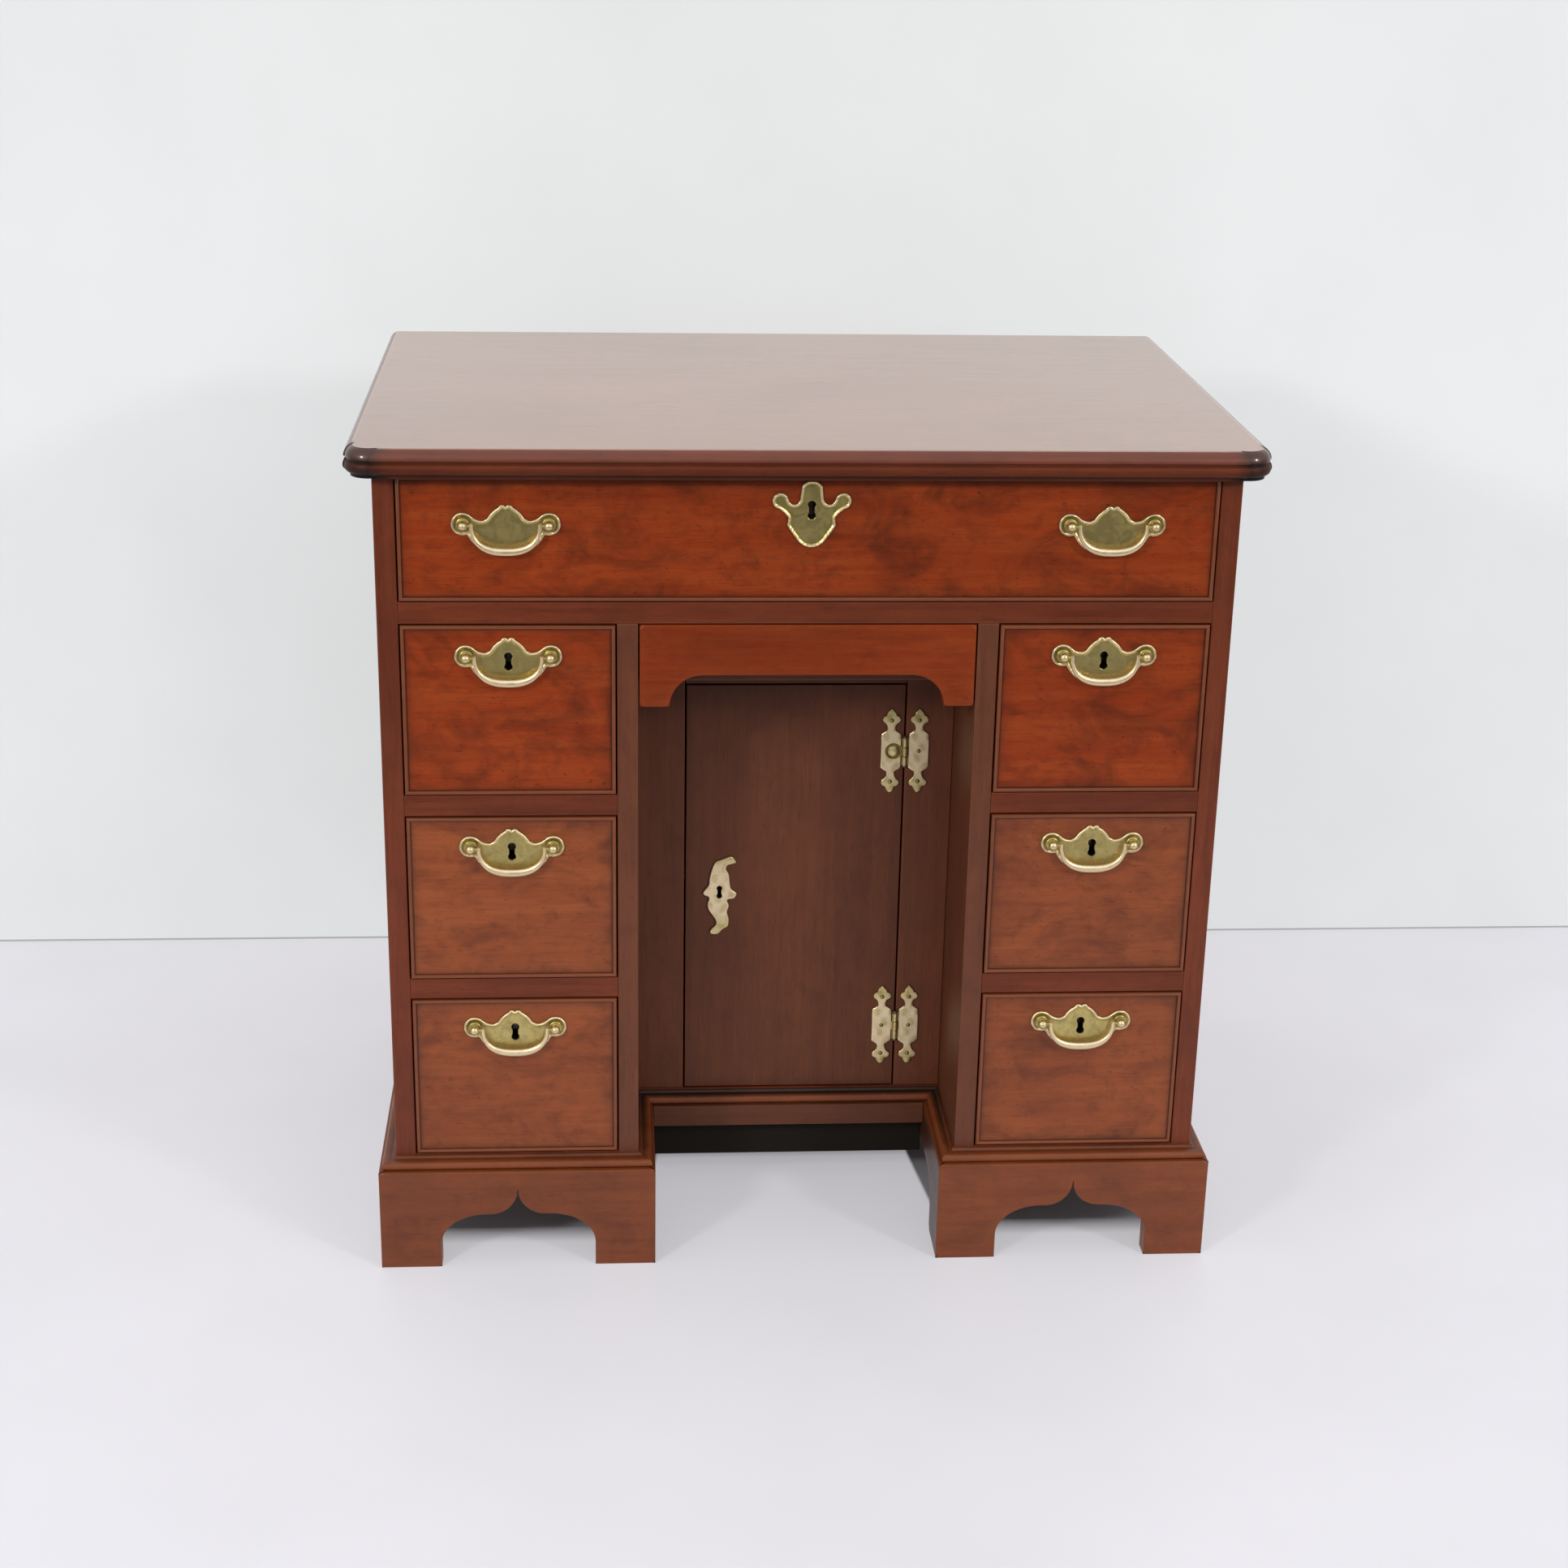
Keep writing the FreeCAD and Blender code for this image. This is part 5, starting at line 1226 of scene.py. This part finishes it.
DOOR_LOW, DOOR_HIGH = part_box("cupboard_door")
DOOR_GAP = 1.5 * MM
DOOR_KEY_X = DOOR_LOW.x + 33 * MM
DOOR_MIDDLE = (DOOR_LOW.z + DOOR_HIGH.z) / 2
HINGE_X = DOOR_HIGH.x + DOOR_GAP / 2
LEDGE = 14 * MM
RIM_LOCK_INSET = 4 * MM
RIM_LOCK_WIDE = 46 * MM
RIM_LOCK_HALF = 19 * MM
RIM_LOCK_DEEP = 8.5 * MM
KNUCKLE = 3.0 * MM
HINGE_Y = RECESS - KNUCKLE - 0.2 * MM
KNUCKLE_GAP = 0.4 * MM
LEAF_BODY = 28 * MM
LEAF_WIDE = 20 * MM
HINGE_INSET = 68 * MM
NAIL_LEVELS = (31 * MM, 0.0, -31 * MM)
NAIL = [(2.2, 1.5), (2.0, 2.3), (1.2, 2.7), (0.05, 2.8)]
NAIL_WEAR = [-1, -0.8, -0.3, -0.2]
BOSS = [(8.2, 1.4), (7.9, 2.3), (6.6, 2.5), (6.0, 2.1), (4.2, 2.9), (2.2, 3.3), (0.05, 3.4)]
BOSS_WEAR = [-1, -0.9, -0.6, -0.9, 0.2, 0.6, 0.7]
BOSS_SHIFT = 2.5 * MM
BARREL_WEAR = [-0.6, -0.2, 0.25, 0.25, -0.2, -0.6]
HINGE_LEVELS = (DOOR_LOW.z - DOOR_GAP + HINGE_INSET, DOOR_HIGH.z + DOOR_GAP - HINGE_INSET)


def door_shape():
    """The door: a board with softened edges and a keyhole."""
    box = ((DOOR_LOW.x, DOOR_LOW.z), (DOOR_HIGH.x, DOOR_HIGH.z))
    soft, y, back = 1.2 * MM, DOOR_LOW.y, DOOR_HIGH.y
    key = (DOOR_KEY_X, DOOR_MIDDLE)
    # Painted shade: the keyhole's tunnel goes to near black.
    return keyed_board(key, [
        (None, y, -1.0), (grown(key_box(key), soft), y, 0.0), (grown(box, -10 * soft), y, 0.0),
        (grown(box, -soft), y, -0.2),
        (grown(box, -0.3 * soft), y + 0.3 * soft, 0.8), (box, y + soft, 0.1), (box, back - soft, 0.0),
        (grown(box, -soft), back, 0.0), (None, back, -1.0),
    ], DOOR_KEY_SIZE)


def hinge_half(shape, z, side, knuckles, boss=False):
    """A leaf on one side of the pin, with nails, its own knuckles and at times a round boss."""
    middle = HINGE_X + side * (KNUCKLE + KNUCKLE_GAP + LEAF_WIDE / 2)
    shape.add(*on_wood(plate(leaf_line(), [], chased(LEAF_RIM), LEAF_NET, LEAF_ROWS), middle, RECESS, z))
    for level in NAIL_LEVELS:
        shape.add(*lathe(NAIL, (middle, RECESS, z + level), OUT, ACROSS, 14, NAIL_WEAR))
    if boss:
        shape.add(*lathe(BOSS, (middle - side * BOSS_SHIFT, RECESS, z), OUT, ACROSS, 32, BOSS_WEAR))
    each = LEAF_BODY / 3
    tall = each - KNUCKLE_GAP
    wide, high, soft = KNUCKLE / MM, tall / MM, 0.4
    barrel = [(0.05, 0), (wide - soft, 0), (wide, soft),
              (wide, high - soft), (wide - soft, high), (0.05, high)]
    for n in knuckles:
        low = z - LEAF_BODY / 2 + n * each + KNUCKLE_GAP / 2
        shape.add(*lathe(barrel, (HINGE_X, HINGE_Y, low), UP, ACROSS, 20, BARREL_WEAR))
        near, far = sorted((HINGE_X + side * 0.5 * KNUCKLE, HINGE_X + side * (KNUCKLE + 2 * KNUCKLE_GAP)))
        shape.add(*board((near, RECESS - 2.2 * MM, low), (far, RECESS - 0.3 * MM, low + tall), 0.2 * MM))


# One operator for each piece or group of like pieces

class DeskOperator:
    """What the desk's operators share."""

    bl_options = {"REGISTER", "UNDO"}

    def execute(self, context):
        if not FINISHES:
            FINISHES.update(make_finishes())
        self.make(context.scene.desk_edges)
        return {"FINISHED"}


class DESK_OT_top(DeskOperator, bpy.types.Operator):
    """Adds the moulded desk top."""

    bl_idname = "desk.add_top"
    bl_label = "Top"

    def make(self, edges):
        piece("desk_top_board", top_shape(), FINISHES["top"], "case", ["desk_top"], zones=(
            (FINISHES["top_edge"], lambda normals, middles: np.abs(normals[:, 2]) < LEVEL_FACE),
            (FINISHES["top_bead"], lambda normals, middles: middles[:, 2] < TOP_HIGH - OVOLO_HIGH)))


class DESK_OT_case(DeskOperator, bpy.types.Operator):
    """Adds the case's boards and rails."""

    bl_idname = "desk.add_case"
    bl_label = "Case"

    def make(self, edges):
        soft = edges.case_round
        for word, _ in SIDES:
            for node, wood in ((f"case_side_{word}", "upright"), (f"kneehole_side_{word}", "knee_side")):
                piece(f"{node}_board", boards([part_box(node)], soft), FINISHES[wood], "case", [node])
        piece("kneehole_soffit_board", boards([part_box("kneehole_soffit")], soft), FINISHES["knee_level"],
              "case", ["kneehole_soffit"])
        rail_back = FRONT + RAIL_DEEP
        rails = Shape()
        rails.add(*with_mirror(*mortised_rail((0.0, FRONT, FRIEZE), (INNER, rail_back, LONG_LOW),
                                              mortise("right_upper_drawer"), RAIL_ROUND)))
        for word, side in SIDES:
            low_x, high_x = sorted((side * BANK, side * INNER))
            for level, height_word in enumerate(LEVELS[:2]):
                low_z = BANK_FLOOR + level * (SHORT_HIGH + BLADE) + SHORT_HIGH
                rails.add(*mortised_rail((low_x, FRONT, low_z), (high_x, rail_back, low_z + BLADE),
                                         mortise(f"{word}_{height_word}_drawer"), RAIL_ROUND))
        piece("drawer_rail_boards", rails, FINISHES["level"], "case", ["drawer_rails"])
        low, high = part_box("back_boards")
        wide = (high.x - low.x) / BACK_COUNT
        backs = [((low.x + n * wide, low.y, low.z), (low.x + (n + 1) * wide - BACK_GAP, high.y, high.z))
                 for n in range(BACK_COUNT)]
        piece("back_board_set", boards(backs, 1.5 * MM), FINISHES["deal_up"], "case", ["back_boards"])
        clothe("dust_boards", FINISHES["deal_wide"])
        clothe("bottom_boards", FINISHES["level"])


class DESK_OT_base(DeskOperator, bpy.types.Operator):
    """Adds the base moulding, the bracket plinths and what stiffens them."""

    bl_idname = "desk.add_base"
    bl_label = "Base"

    def make(self, edges):
        piece("base_moulding_run", moulding_shape(), FINISHES["plinth"], "case", ["base_moulding"],
              30)
        outer, reveal = HALF + PLINTH_PROUD, KNEE - PLINTH_PROUD
        fronts = Shape()
        sides = Shape()
        face_y = FRONT - PLINTH_PROUD
        depth = BACK - face_y
        for _, side in SIDES:
            points, faces, wear = bracket_board(outer - reveal, True, (1, 1))
            fronts.add(points + (side * (outer + reveal) / 2, face_y + PLINTH_THICK, 0), faces, wear)
            for x, faces_out in ((side * outer, side), (side * reveal, -side)):
                mitres = (1, 0) if faces_out > 0 else (0, 1)
                points, faces, wear = bracket_board(depth, False, mitres)
                # Plinth returns that face the kneehole are darkened as painted shade.
                wear = wear - (KNEE_PAINTED_SHADE if faces_out != side else 0)
                along, out, up = points.T
                turned = np.column_stack([-faces_out * out, faces_out * along, up])
                centre = (x - faces_out * PLINTH_THICK, face_y + depth / 2, 0)
                sides.add(turned + centre, faces, wear)
        piece("plinth_front_boards", fronts, FINISHES["plinth"], "case", ["plinth_fronts"],
              40)
        piece("plinth_side_boards", sides, FINISHES["runner"], "case", ["plinth_sides"],
              40)
        low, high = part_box("cupboard_plinth_rail")
        rail_y = low.y + PLINTH_THICK
        rail = ((low.x, low.y, high.z - PLINTH_RAIL_HIGH), (high.x, rail_y, high.z))
        bearer = ((low.x, rail_y, low.z), tuple(high))
        piece("cupboard_plinth_board", boards([rail], edges.case_round), FINISHES["knee_level"], "case",
              ["cupboard_plinth_rail"])
        # The bearer is near black as painted shade under the cupboard.
        piece("rough_bearer_board", boards([bearer], edges.case_round), FINISHES["bearer_shade"], "case",
              ["cupboard_plinth_rail"])
        clothe("glue_blocks", FINISHES["deal_up"])


class DESK_OT_drawers(DeskOperator, bpy.types.Operator):
    """Adds the drawer fronts, their cock beads and their oak linings."""

    bl_idname = "desk.add_drawers"
    bl_label = "Drawers"

    def make(self, edges):
        for name, low_x, high_x, low_z, height, key in every_drawer():
            box = grown(((low_x, low_z), (high_x, low_z + height)), -DRAWER_GAP)
            front = f"{name}_front"
            wood = FINISHES["front" if low_z > HIGH_ROW else "low_front"]
            piece(f"{front}_board", drawer_board(box, key), wood, name, [front])
            piece(f"{name}_cock_bead", bead_shape(box), FINISHES["bead"], name, [front])
            add_linings(name, lining_boxes(low_x, high_x, low_z, height), edges.lining_round)


def add_linings(name, boxes, soft):
    """Makes a drawer's sides, and its bottom and back."""
    sides, rest = boxes
    node = f"{name}_linings"
    piece(f"{name}_sides", boards(sides, soft), FINISHES["oak_long"], name, [node])
    piece(f"{name}_bottom_and_back", boards(rest, soft), FINISHES["oak_wide"], name, [node])


class DESK_OT_apron(DeskOperator, bpy.types.Operator):
    """Adds the apron drawer."""

    bl_idname = "desk.add_apron"
    bl_label = "Apron drawer"

    def make(self, edges):
        line = spaced_corners(apron_line(), 5 * MM)
        rows = (0.5 * MM, edges.case_round)
        parts = plate(line, [], eased(FRONT_THICK, edges.case_round), APRON_NET, rows)
        shape = Shape().add(*on_wood(parts, 0, FRONT + FRONT_THICK, SOFFIT))
        piece("apron_drawer_front_board", shape, FINISHES["apron"], "apron_drawer", ["apron_drawer_front"],
              40)
        add_linings("apron_drawer", lining_boxes(-KNEE, KNEE, SOFFIT, APRON_HIGH), edges.lining_round)


class DESK_OT_handles(DeskOperator, bpy.types.Operator):
    """Adds the brass plates, posts and bails, and the locks behind the drawer fronts."""

    bl_idname = "desk.add_handles"
    bl_label = "Handles and locks"

    def make(self, edges):
        shapes = {name: Shape() for name, *_ in every_drawer()}
        outline = handle_line()
        key = keyhole_line() - (0, KEY_HALF)
        plates = {keyed: plate(outline, [key] if keyed else [], rimmed(HANDLE_RIM), RIMMED_NET, RIMMED_ROWS)
                  for keyed in (True, False)}
        for name, bail, x, z, keyed in every_handle():
            shapes[name].add(*on_wood(plates[keyed], x, FRONT, z))
            for side in (-1, 1):
                post_shape(shapes[name], x + side * POST_SPAN / 2, z)
            piece(f"{bail}_loop", bail_shape(x, z), FINISHES["brass"], bail, [bail])
        x, z = every_drawer()[0][5]
        own = plate(key_plate_line(), [keyhole_line()], rimmed(KEY_PLATE_RIM), RIMMED_NET, RIMMED_ROWS)
        shapes["long_drawer"].add(*on_wood(own, x, FRONT, z))
        for name, low_x, high_x, low_z, height, _ in every_drawer():
            node = f"{name}_fittings"
            piece(f"{name}_brasses", shapes[name], FINISHES["brass"], name, [node], 50)
            middle, top = (low_x + high_x) / 2, low_z + height - DRAWER_GAP
            y = FRONT + FRONT_THICK
            fixed = [((middle - LOCK_HALF, y - LOCK_SUNK, top - LOCK_HIGH),
                      (middle + LOCK_HALF, y + LOCK_PROUD, top + LOCK_LIFT))]
            posts = [(x + side * POST_SPAN / 2, z) for owner, _, x, z, _ in every_handle() if owner == name
                     for side in (-1, 1)]
            fixed += [((x - NUT_HALF, y, z - NUT_HALF), (x + NUT_HALF, y + NUT_HIGH, z + NUT_HALF))
                      for x, z in posts]
            piece(f"{name}_lock_and_nuts", boards(fixed, 0.5 * MM), FINISHES["iron"], name, [node])
            clothe(f"{name}_bolt", FINISHES["iron"])


class DESK_OT_cupboard(DeskOperator, bpy.types.Operator):
    """Adds the cupboard's frame, shelf and door."""

    bl_idname = "desk.add_cupboard"
    bl_label = "Cupboard"

    def make(self, edges):
        soft = edges.case_round
        low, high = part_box("cupboard_frame")
        opening = DOOR_HIGH.x + DOOR_GAP
        head = ((-opening, low.y, DOOR_HIGH.z + DOOR_GAP), (opening, high.y, high.z))
        stiles = [((left, low.y, low.z), (right, high.y, high.z))
                  for left, right in ((-KNEE, -opening), (opening, KNEE))]
        piece("cupboard_head", boards([head], soft), FINISHES["knee_level"], "case", ["cupboard_frame"])
        piece("cupboard_stiles", boards(stiles, soft), FINISHES["knee_upright"], "case", ["cupboard_frame"])
        low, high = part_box("cupboard_shelf")
        ledge_top = low.z + LEDGE
        shelf = [((low.x, low.y, ledge_top), tuple(high)),
                 ((low.x, low.y, low.z), (low.x + LEDGE, high.y, ledge_top)),
                 ((high.x - LEDGE, low.y, low.z), (high.x, high.y, ledge_top))]
        piece("cupboard_shelf_boards", boards(shelf, soft), FINISHES["oak_wide"], "case", ["cupboard_shelf"])
        piece("cupboard_door_board", door_shape(), FINISHES["knee_upright"], "door", ["cupboard_door"])
        brass = Shape()
        scroll = plate(scroll_line(), [keyhole_line(DOOR_KEY_SIZE)], chased(SCROLL_RIM), SCROLL_NET,
                       SCROLL_ROWS)
        brass.add(*on_wood(scroll, DOOR_KEY_X, RECESS, DOOR_MIDDLE))
        for z in HINGE_LEVELS:
            hinge_half(brass, z, -1, (1,), boss=z > DOOR_MIDDLE)
        piece("door_brasses", brass, FINISHES["brass"], "door", ["door_fittings"], 50)
        lock_low = DOOR_LOW.x + RIM_LOCK_INSET
        lock = [((lock_low, DOOR_HIGH.y, DOOR_MIDDLE - RIM_LOCK_HALF),
                 (lock_low + RIM_LOCK_WIDE, DOOR_HIGH.y + RIM_LOCK_DEEP, DOOR_MIDDLE + RIM_LOCK_HALF))]
        piece("door_rim_lock", boards(lock, 0.8 * MM), FINISHES["iron"], "door", ["door_fittings"])
        clothe("door_bolt", FINISHES["iron"])


class DESK_OT_hinges(DeskOperator, bpy.types.Operator):
    """Adds the hinge leaves on the frame and the hinge pins."""

    bl_idname = "desk.add_hinges"
    bl_label = "Hinges"

    def make(self, edges):
        leaves = Shape()
        pins = Shape()
        middle = LEAF_BODY / 2 / MM
        upper = [(1.4, middle), (2.4, middle), (2.4, middle + 1.2), (1.6, middle + 2), (0.05, middle + 2)]
        profile = [(wide, -level) for wide, level in reversed(upper)] + upper
        for z in HINGE_LEVELS:
            hinge_half(leaves, z, 1, (0, 2))
            pins.add(*lathe(profile, (HINGE_X, HINGE_Y, z), UP, ACROSS, 18, 0.5))
        piece("frame_leaves", leaves, FINISHES["brass"], "case", ["hinge_frame_leaves"], 50)
        piece("hinge_pin_set", pins, FINISHES["iron"], "case", ["hinge_pins"])


# Stage

IMAGE_SIDE = 1932
CAMERA_AT = (-0.17867, -2.45583, 1.30248)
CAMERA_YAW, CAMERA_PITCH, CAMERA_ROLL = (math.radians(a) for a in (-4.129, 20.202, 1.142))
AXIS_DROP = 3.5
WALL_AT = 0.52
WALL_HIGH = 3.2
JOINT_HIGH = 2.2 * MM
JOINT_GREY = (178, 180, 180)
FLOOR_FRONT = -1.5
STAGE_HALF = 6.0
LAMP_SIZE = 0.45
LAMP_AIM = (0, 0, 0.35)
KEY_LAMP_AT = (-2.0, -2.5, 1.9)
FILL_LAMP_AT = (2.2, -2.4, 1.9)
HORIZON = (-0.12, 0.3)
ROOM_BELOW = (0.05, 0.045, 0.04)
ROOM_ABOVE = (0.96, 0.98, 1.0)
OWN_LIGHT = 0.5

# Where, in x and y, the floor under the desk loses its own light, as a painted shadow, and how much deeper in
# the kneehole
UNDER_SIDE = (0.37, 0.40)
UNDER_KNEE = (0.13, 0.15)
UNDER_FRONT = (-0.225, -0.195)
UNDER_BACK = (0.2, 0.26)
KNEE_DEEPER = 0.165


def plain(name, colour_value, roughness, shadow_mask=None):
    """A plain pale material for the stage, with a faint cloudiness. To the camera and to polished surfaces a
    share of its colour shows without any lamp, and it lights nothing. Where the given function marks the
    floor under the desk, that share is taken away, which paints a shadow there."""
    material = bpy.data.materials.new(name)
    material.use_nodes = True
    tree = material.node_tree
    skin = tree.nodes["Principled BSDF"]
    place = put(tree, "ShaderNodeTexCoord").outputs["Object"]
    cloud = stretched_noise(tree, place, (2.5, 2.5, 2.5), 3.0)
    pale = blend(tree, span(tree, cloud, 0.3, 0.7), (*colour_value, 1),
                 (*(np.array(colour_value) * 0.95), 1))
    rays = put(tree, "ShaderNodeLightPath").outputs
    seen = put(tree, "ShaderNodeMath", {0: rays["Is Camera Ray"], 1: rays["Is Glossy Ray"]},
               operation="MAXIMUM")
    share = span(tree, shadow_mask(tree, place), 0, 1, OWN_LIGHT, 0.0) if shadow_mask else OWN_LIGHT
    shown = times(tree, seen.outputs[0], share)
    held = times(tree, seen.outputs[0], OWN_LIGHT)
    tree.links.new(blend(tree, held, pale, (0, 0, 0, 1)), skin.inputs["Base Color"])
    tree.links.new(pale, skin.inputs["Emission Color"])
    tree.links.new(shown, skin.inputs["Emission Strength"])
    skin.inputs["Roughness"].default_value = roughness
    return material


def one_sided(material):
    """Makes a material clear where its back is seen, so that a view from behind isn't blocked."""
    tree = material.node_tree
    behind = put(tree, "ShaderNodeNewGeometry").outputs["Backfacing"]
    clear = put(tree, "ShaderNodeBsdfTransparent")
    seen = put(tree, "ShaderNodeMixShader", {0: behind, 1: tree.nodes["Principled BSDF"].outputs[0],
                                             2: clear.outputs[0]})
    tree.links.new(seen.outputs[0], tree.nodes["Material Output"].inputs["Surface"])
    return material


def painted_shadow_under_desk(tree, place):
    """Where the floor under the plinths and the cupboard gets a painted shadow, starting deeper in the
    kneehole.
    """
    axes = put(tree, "ShaderNodeSeparateXYZ", {0: place}).outputs
    beside = put(tree, "ShaderNodeMath", {0: axes["X"]}, operation="ABSOLUTE").outputs[0]
    later = span(tree, beside, *UNDER_KNEE, KNEE_DEEPER, 0.0)
    depth = put(tree, "ShaderNodeMath", {0: axes["Y"], 1: later}, operation="SUBTRACT").outputs[0]
    covered = times(tree, span(tree, beside, *UNDER_SIDE, 1.0, 0.0), span(tree, depth, *UNDER_FRONT))
    return times(tree, covered, span(tree, axes["Y"], *UNDER_BACK, 1.0, 0.0))


def stage_sheet(name, corners, material):
    """A flat four-cornered sheet of the stage."""
    mesh = bpy.data.meshes.new(name)
    mesh.from_pydata(corners, [], [(0, 1, 2, 3)])
    mesh.materials.append(material)
    made = bpy.data.objects.new(name, mesh)
    bpy.context.scene.collection.objects.link(made)


def soft_lamp(name, place, power):
    """A round lamp that faces a point."""
    data = bpy.data.lights.new(name, "AREA")
    data.shape = "DISK"
    data.size = LAMP_SIZE
    data.energy = power
    lamp = bpy.data.objects.new(name, data)
    lamp.location = place
    lamp.rotation_euler = (Vector(LAMP_AIM) - Vector(place)).to_track_quat("-Z", "Y").to_euler()
    bpy.context.scene.collection.objects.link(lamp)


def room_light(pale, strength):
    """The room: pale where the camera looks past the stage, and otherwise light above and dim below."""
    world = bpy.data.worlds.new("room")
    world.use_nodes = True
    tree = world.node_tree
    sky = tree.nodes["Background"]
    ray = put(tree, "ShaderNodeTexCoord").outputs["Generated"]
    height = put(tree, "ShaderNodeSeparateXYZ", {0: ray}).outputs["Z"]
    above = span(tree, height, *HORIZON)
    around = blend(tree, above, (*ROOM_BELOW, 1), (*(np.array(ROOM_ABOVE) * strength), 1))
    camera = put(tree, "ShaderNodeLightPath").outputs["Is Camera Ray"]
    tree.links.new(blend(tree, camera, around, (*pale, 1)), sky.inputs["Color"])
    return world


class DESK_OT_stage(bpy.types.Operator):
    """Adds the floor, the wall, the lamps and the camera."""

    bl_idname = "desk.add_stage"
    bl_label = "Stage"

    def execute(self, context):
        scene = context.scene
        stage = scene.desk_stage
        far = STAGE_HALF
        stage_sheet("floor", [(-far, FLOOR_FRONT, 0), (far, FLOOR_FRONT, 0), (far, far, 0), (-far, far, 0)],
                    plain("pale_floor", tuple(stage.floor), 0.5, painted_shadow_under_desk))
        for name, y, high, shade in (("wall", WALL_AT, WALL_HIGH, tuple(stage.wall)),
                                     ("wall_joint", WALL_AT - 1.0 * MM, JOINT_HIGH, linear(*JOINT_GREY))):
            sheet = [(-far, y, 0), (far, y, 0), (far, y, high), (-far, y, high)]
            stage_sheet(name, sheet, one_sided(plain(f"pale_{name}", shade, 0.6)))
        soft_lamp("key_lamp", KEY_LAMP_AT, stage.key_power)
        soft_lamp("fill_lamp", FILL_LAMP_AT, stage.fill_power)
        scene.world = room_light(tuple(stage.wall), stage.sky)
        scene.view_settings.view_transform = "Standard"
        self.aim_camera(scene, stage.lens)
        return {"FINISHED"}

    def aim_camera(self, scene, lens):
        """Turns the camera to the photograph's angle: right, up and backward directions as matrix columns."""
        level = Vector((math.cos(CAMERA_YAW), math.sin(CAMERA_YAW), 0))
        onward = Vector((-math.sin(CAMERA_YAW), math.cos(CAMERA_YAW), 0))
        ahead = math.cos(CAMERA_PITCH) * onward - Vector((0, 0, math.sin(CAMERA_PITCH)))
        upright = level.cross(ahead)
        right = math.cos(CAMERA_ROLL) * level + math.sin(CAMERA_ROLL) * upright
        up = math.cos(CAMERA_ROLL) * upright - math.sin(CAMERA_ROLL) * level
        data = bpy.data.cameras.new("camera")
        data.sensor_width = 36
        data.lens = lens
        data.shift_y = -AXIS_DROP / IMAGE_SIDE
        camera = bpy.data.objects.new("camera", data)
        turned = Matrix((right, up, -ahead)).transposed()
        camera.matrix_world = Matrix.Translation(CAMERA_AT) @ turned.to_4x4()
        scene.collection.objects.link(camera)
        scene.camera = camera


class DESK_PT_panel(bpy.types.Panel):
    """Lists the desk's operators."""

    bl_idname = "DESK_PT_panel"
    bl_label = "Kneehole desk"
    bl_space_type = "VIEW_3D"
    bl_region_type = "UI"
    bl_category = "Desk"

    def draw(self, context):
        for operator in OPERATORS:
            self.layout.operator(operator.bl_idname)
        for group in SETTINGS:
            settings = getattr(context.scene, group)
            for name in settings.__annotations__:
                self.layout.prop(settings, name)


SETTINGS = {"desk_woods": DeskWoods, "desk_metals": DeskMetals, "desk_edges": DeskEdges,
            "desk_stage": DeskStage}
OPERATORS = (DESK_OT_top, DESK_OT_case, DESK_OT_base, DESK_OT_drawers, DESK_OT_apron, DESK_OT_handles,
             DESK_OT_cupboard, DESK_OT_hinges, DESK_OT_stage)


def register():
    """Registers the settings, operators and panel."""
    for name, group in SETTINGS.items():
        bpy.utils.register_class(group)
        setattr(bpy.types.Scene, name, PointerProperty(type=group))
    for made in (*OPERATORS, DESK_PT_panel):
        bpy.utils.register_class(made)


def unregister():
    """Takes them away again."""
    for made in reversed((*OPERATORS, DESK_PT_panel)):
        bpy.utils.unregister_class(made)
    for name, group in SETTINGS.items():
        delattr(bpy.types.Scene, name)
        bpy.utils.unregister_class(group)


def main():
    """Builds the desk and its stage."""
    register()
    bpy.ops.desk.add_top()
    bpy.ops.desk.add_case()
    bpy.ops.desk.add_base()
    bpy.ops.desk.add_drawers()
    bpy.ops.desk.add_apron()
    bpy.ops.desk.add_handles()
    bpy.ops.desk.add_cupboard()
    bpy.ops.desk.add_hinges()
    bpy.ops.desk.add_stage()


if __name__ == "__main__":
    main()
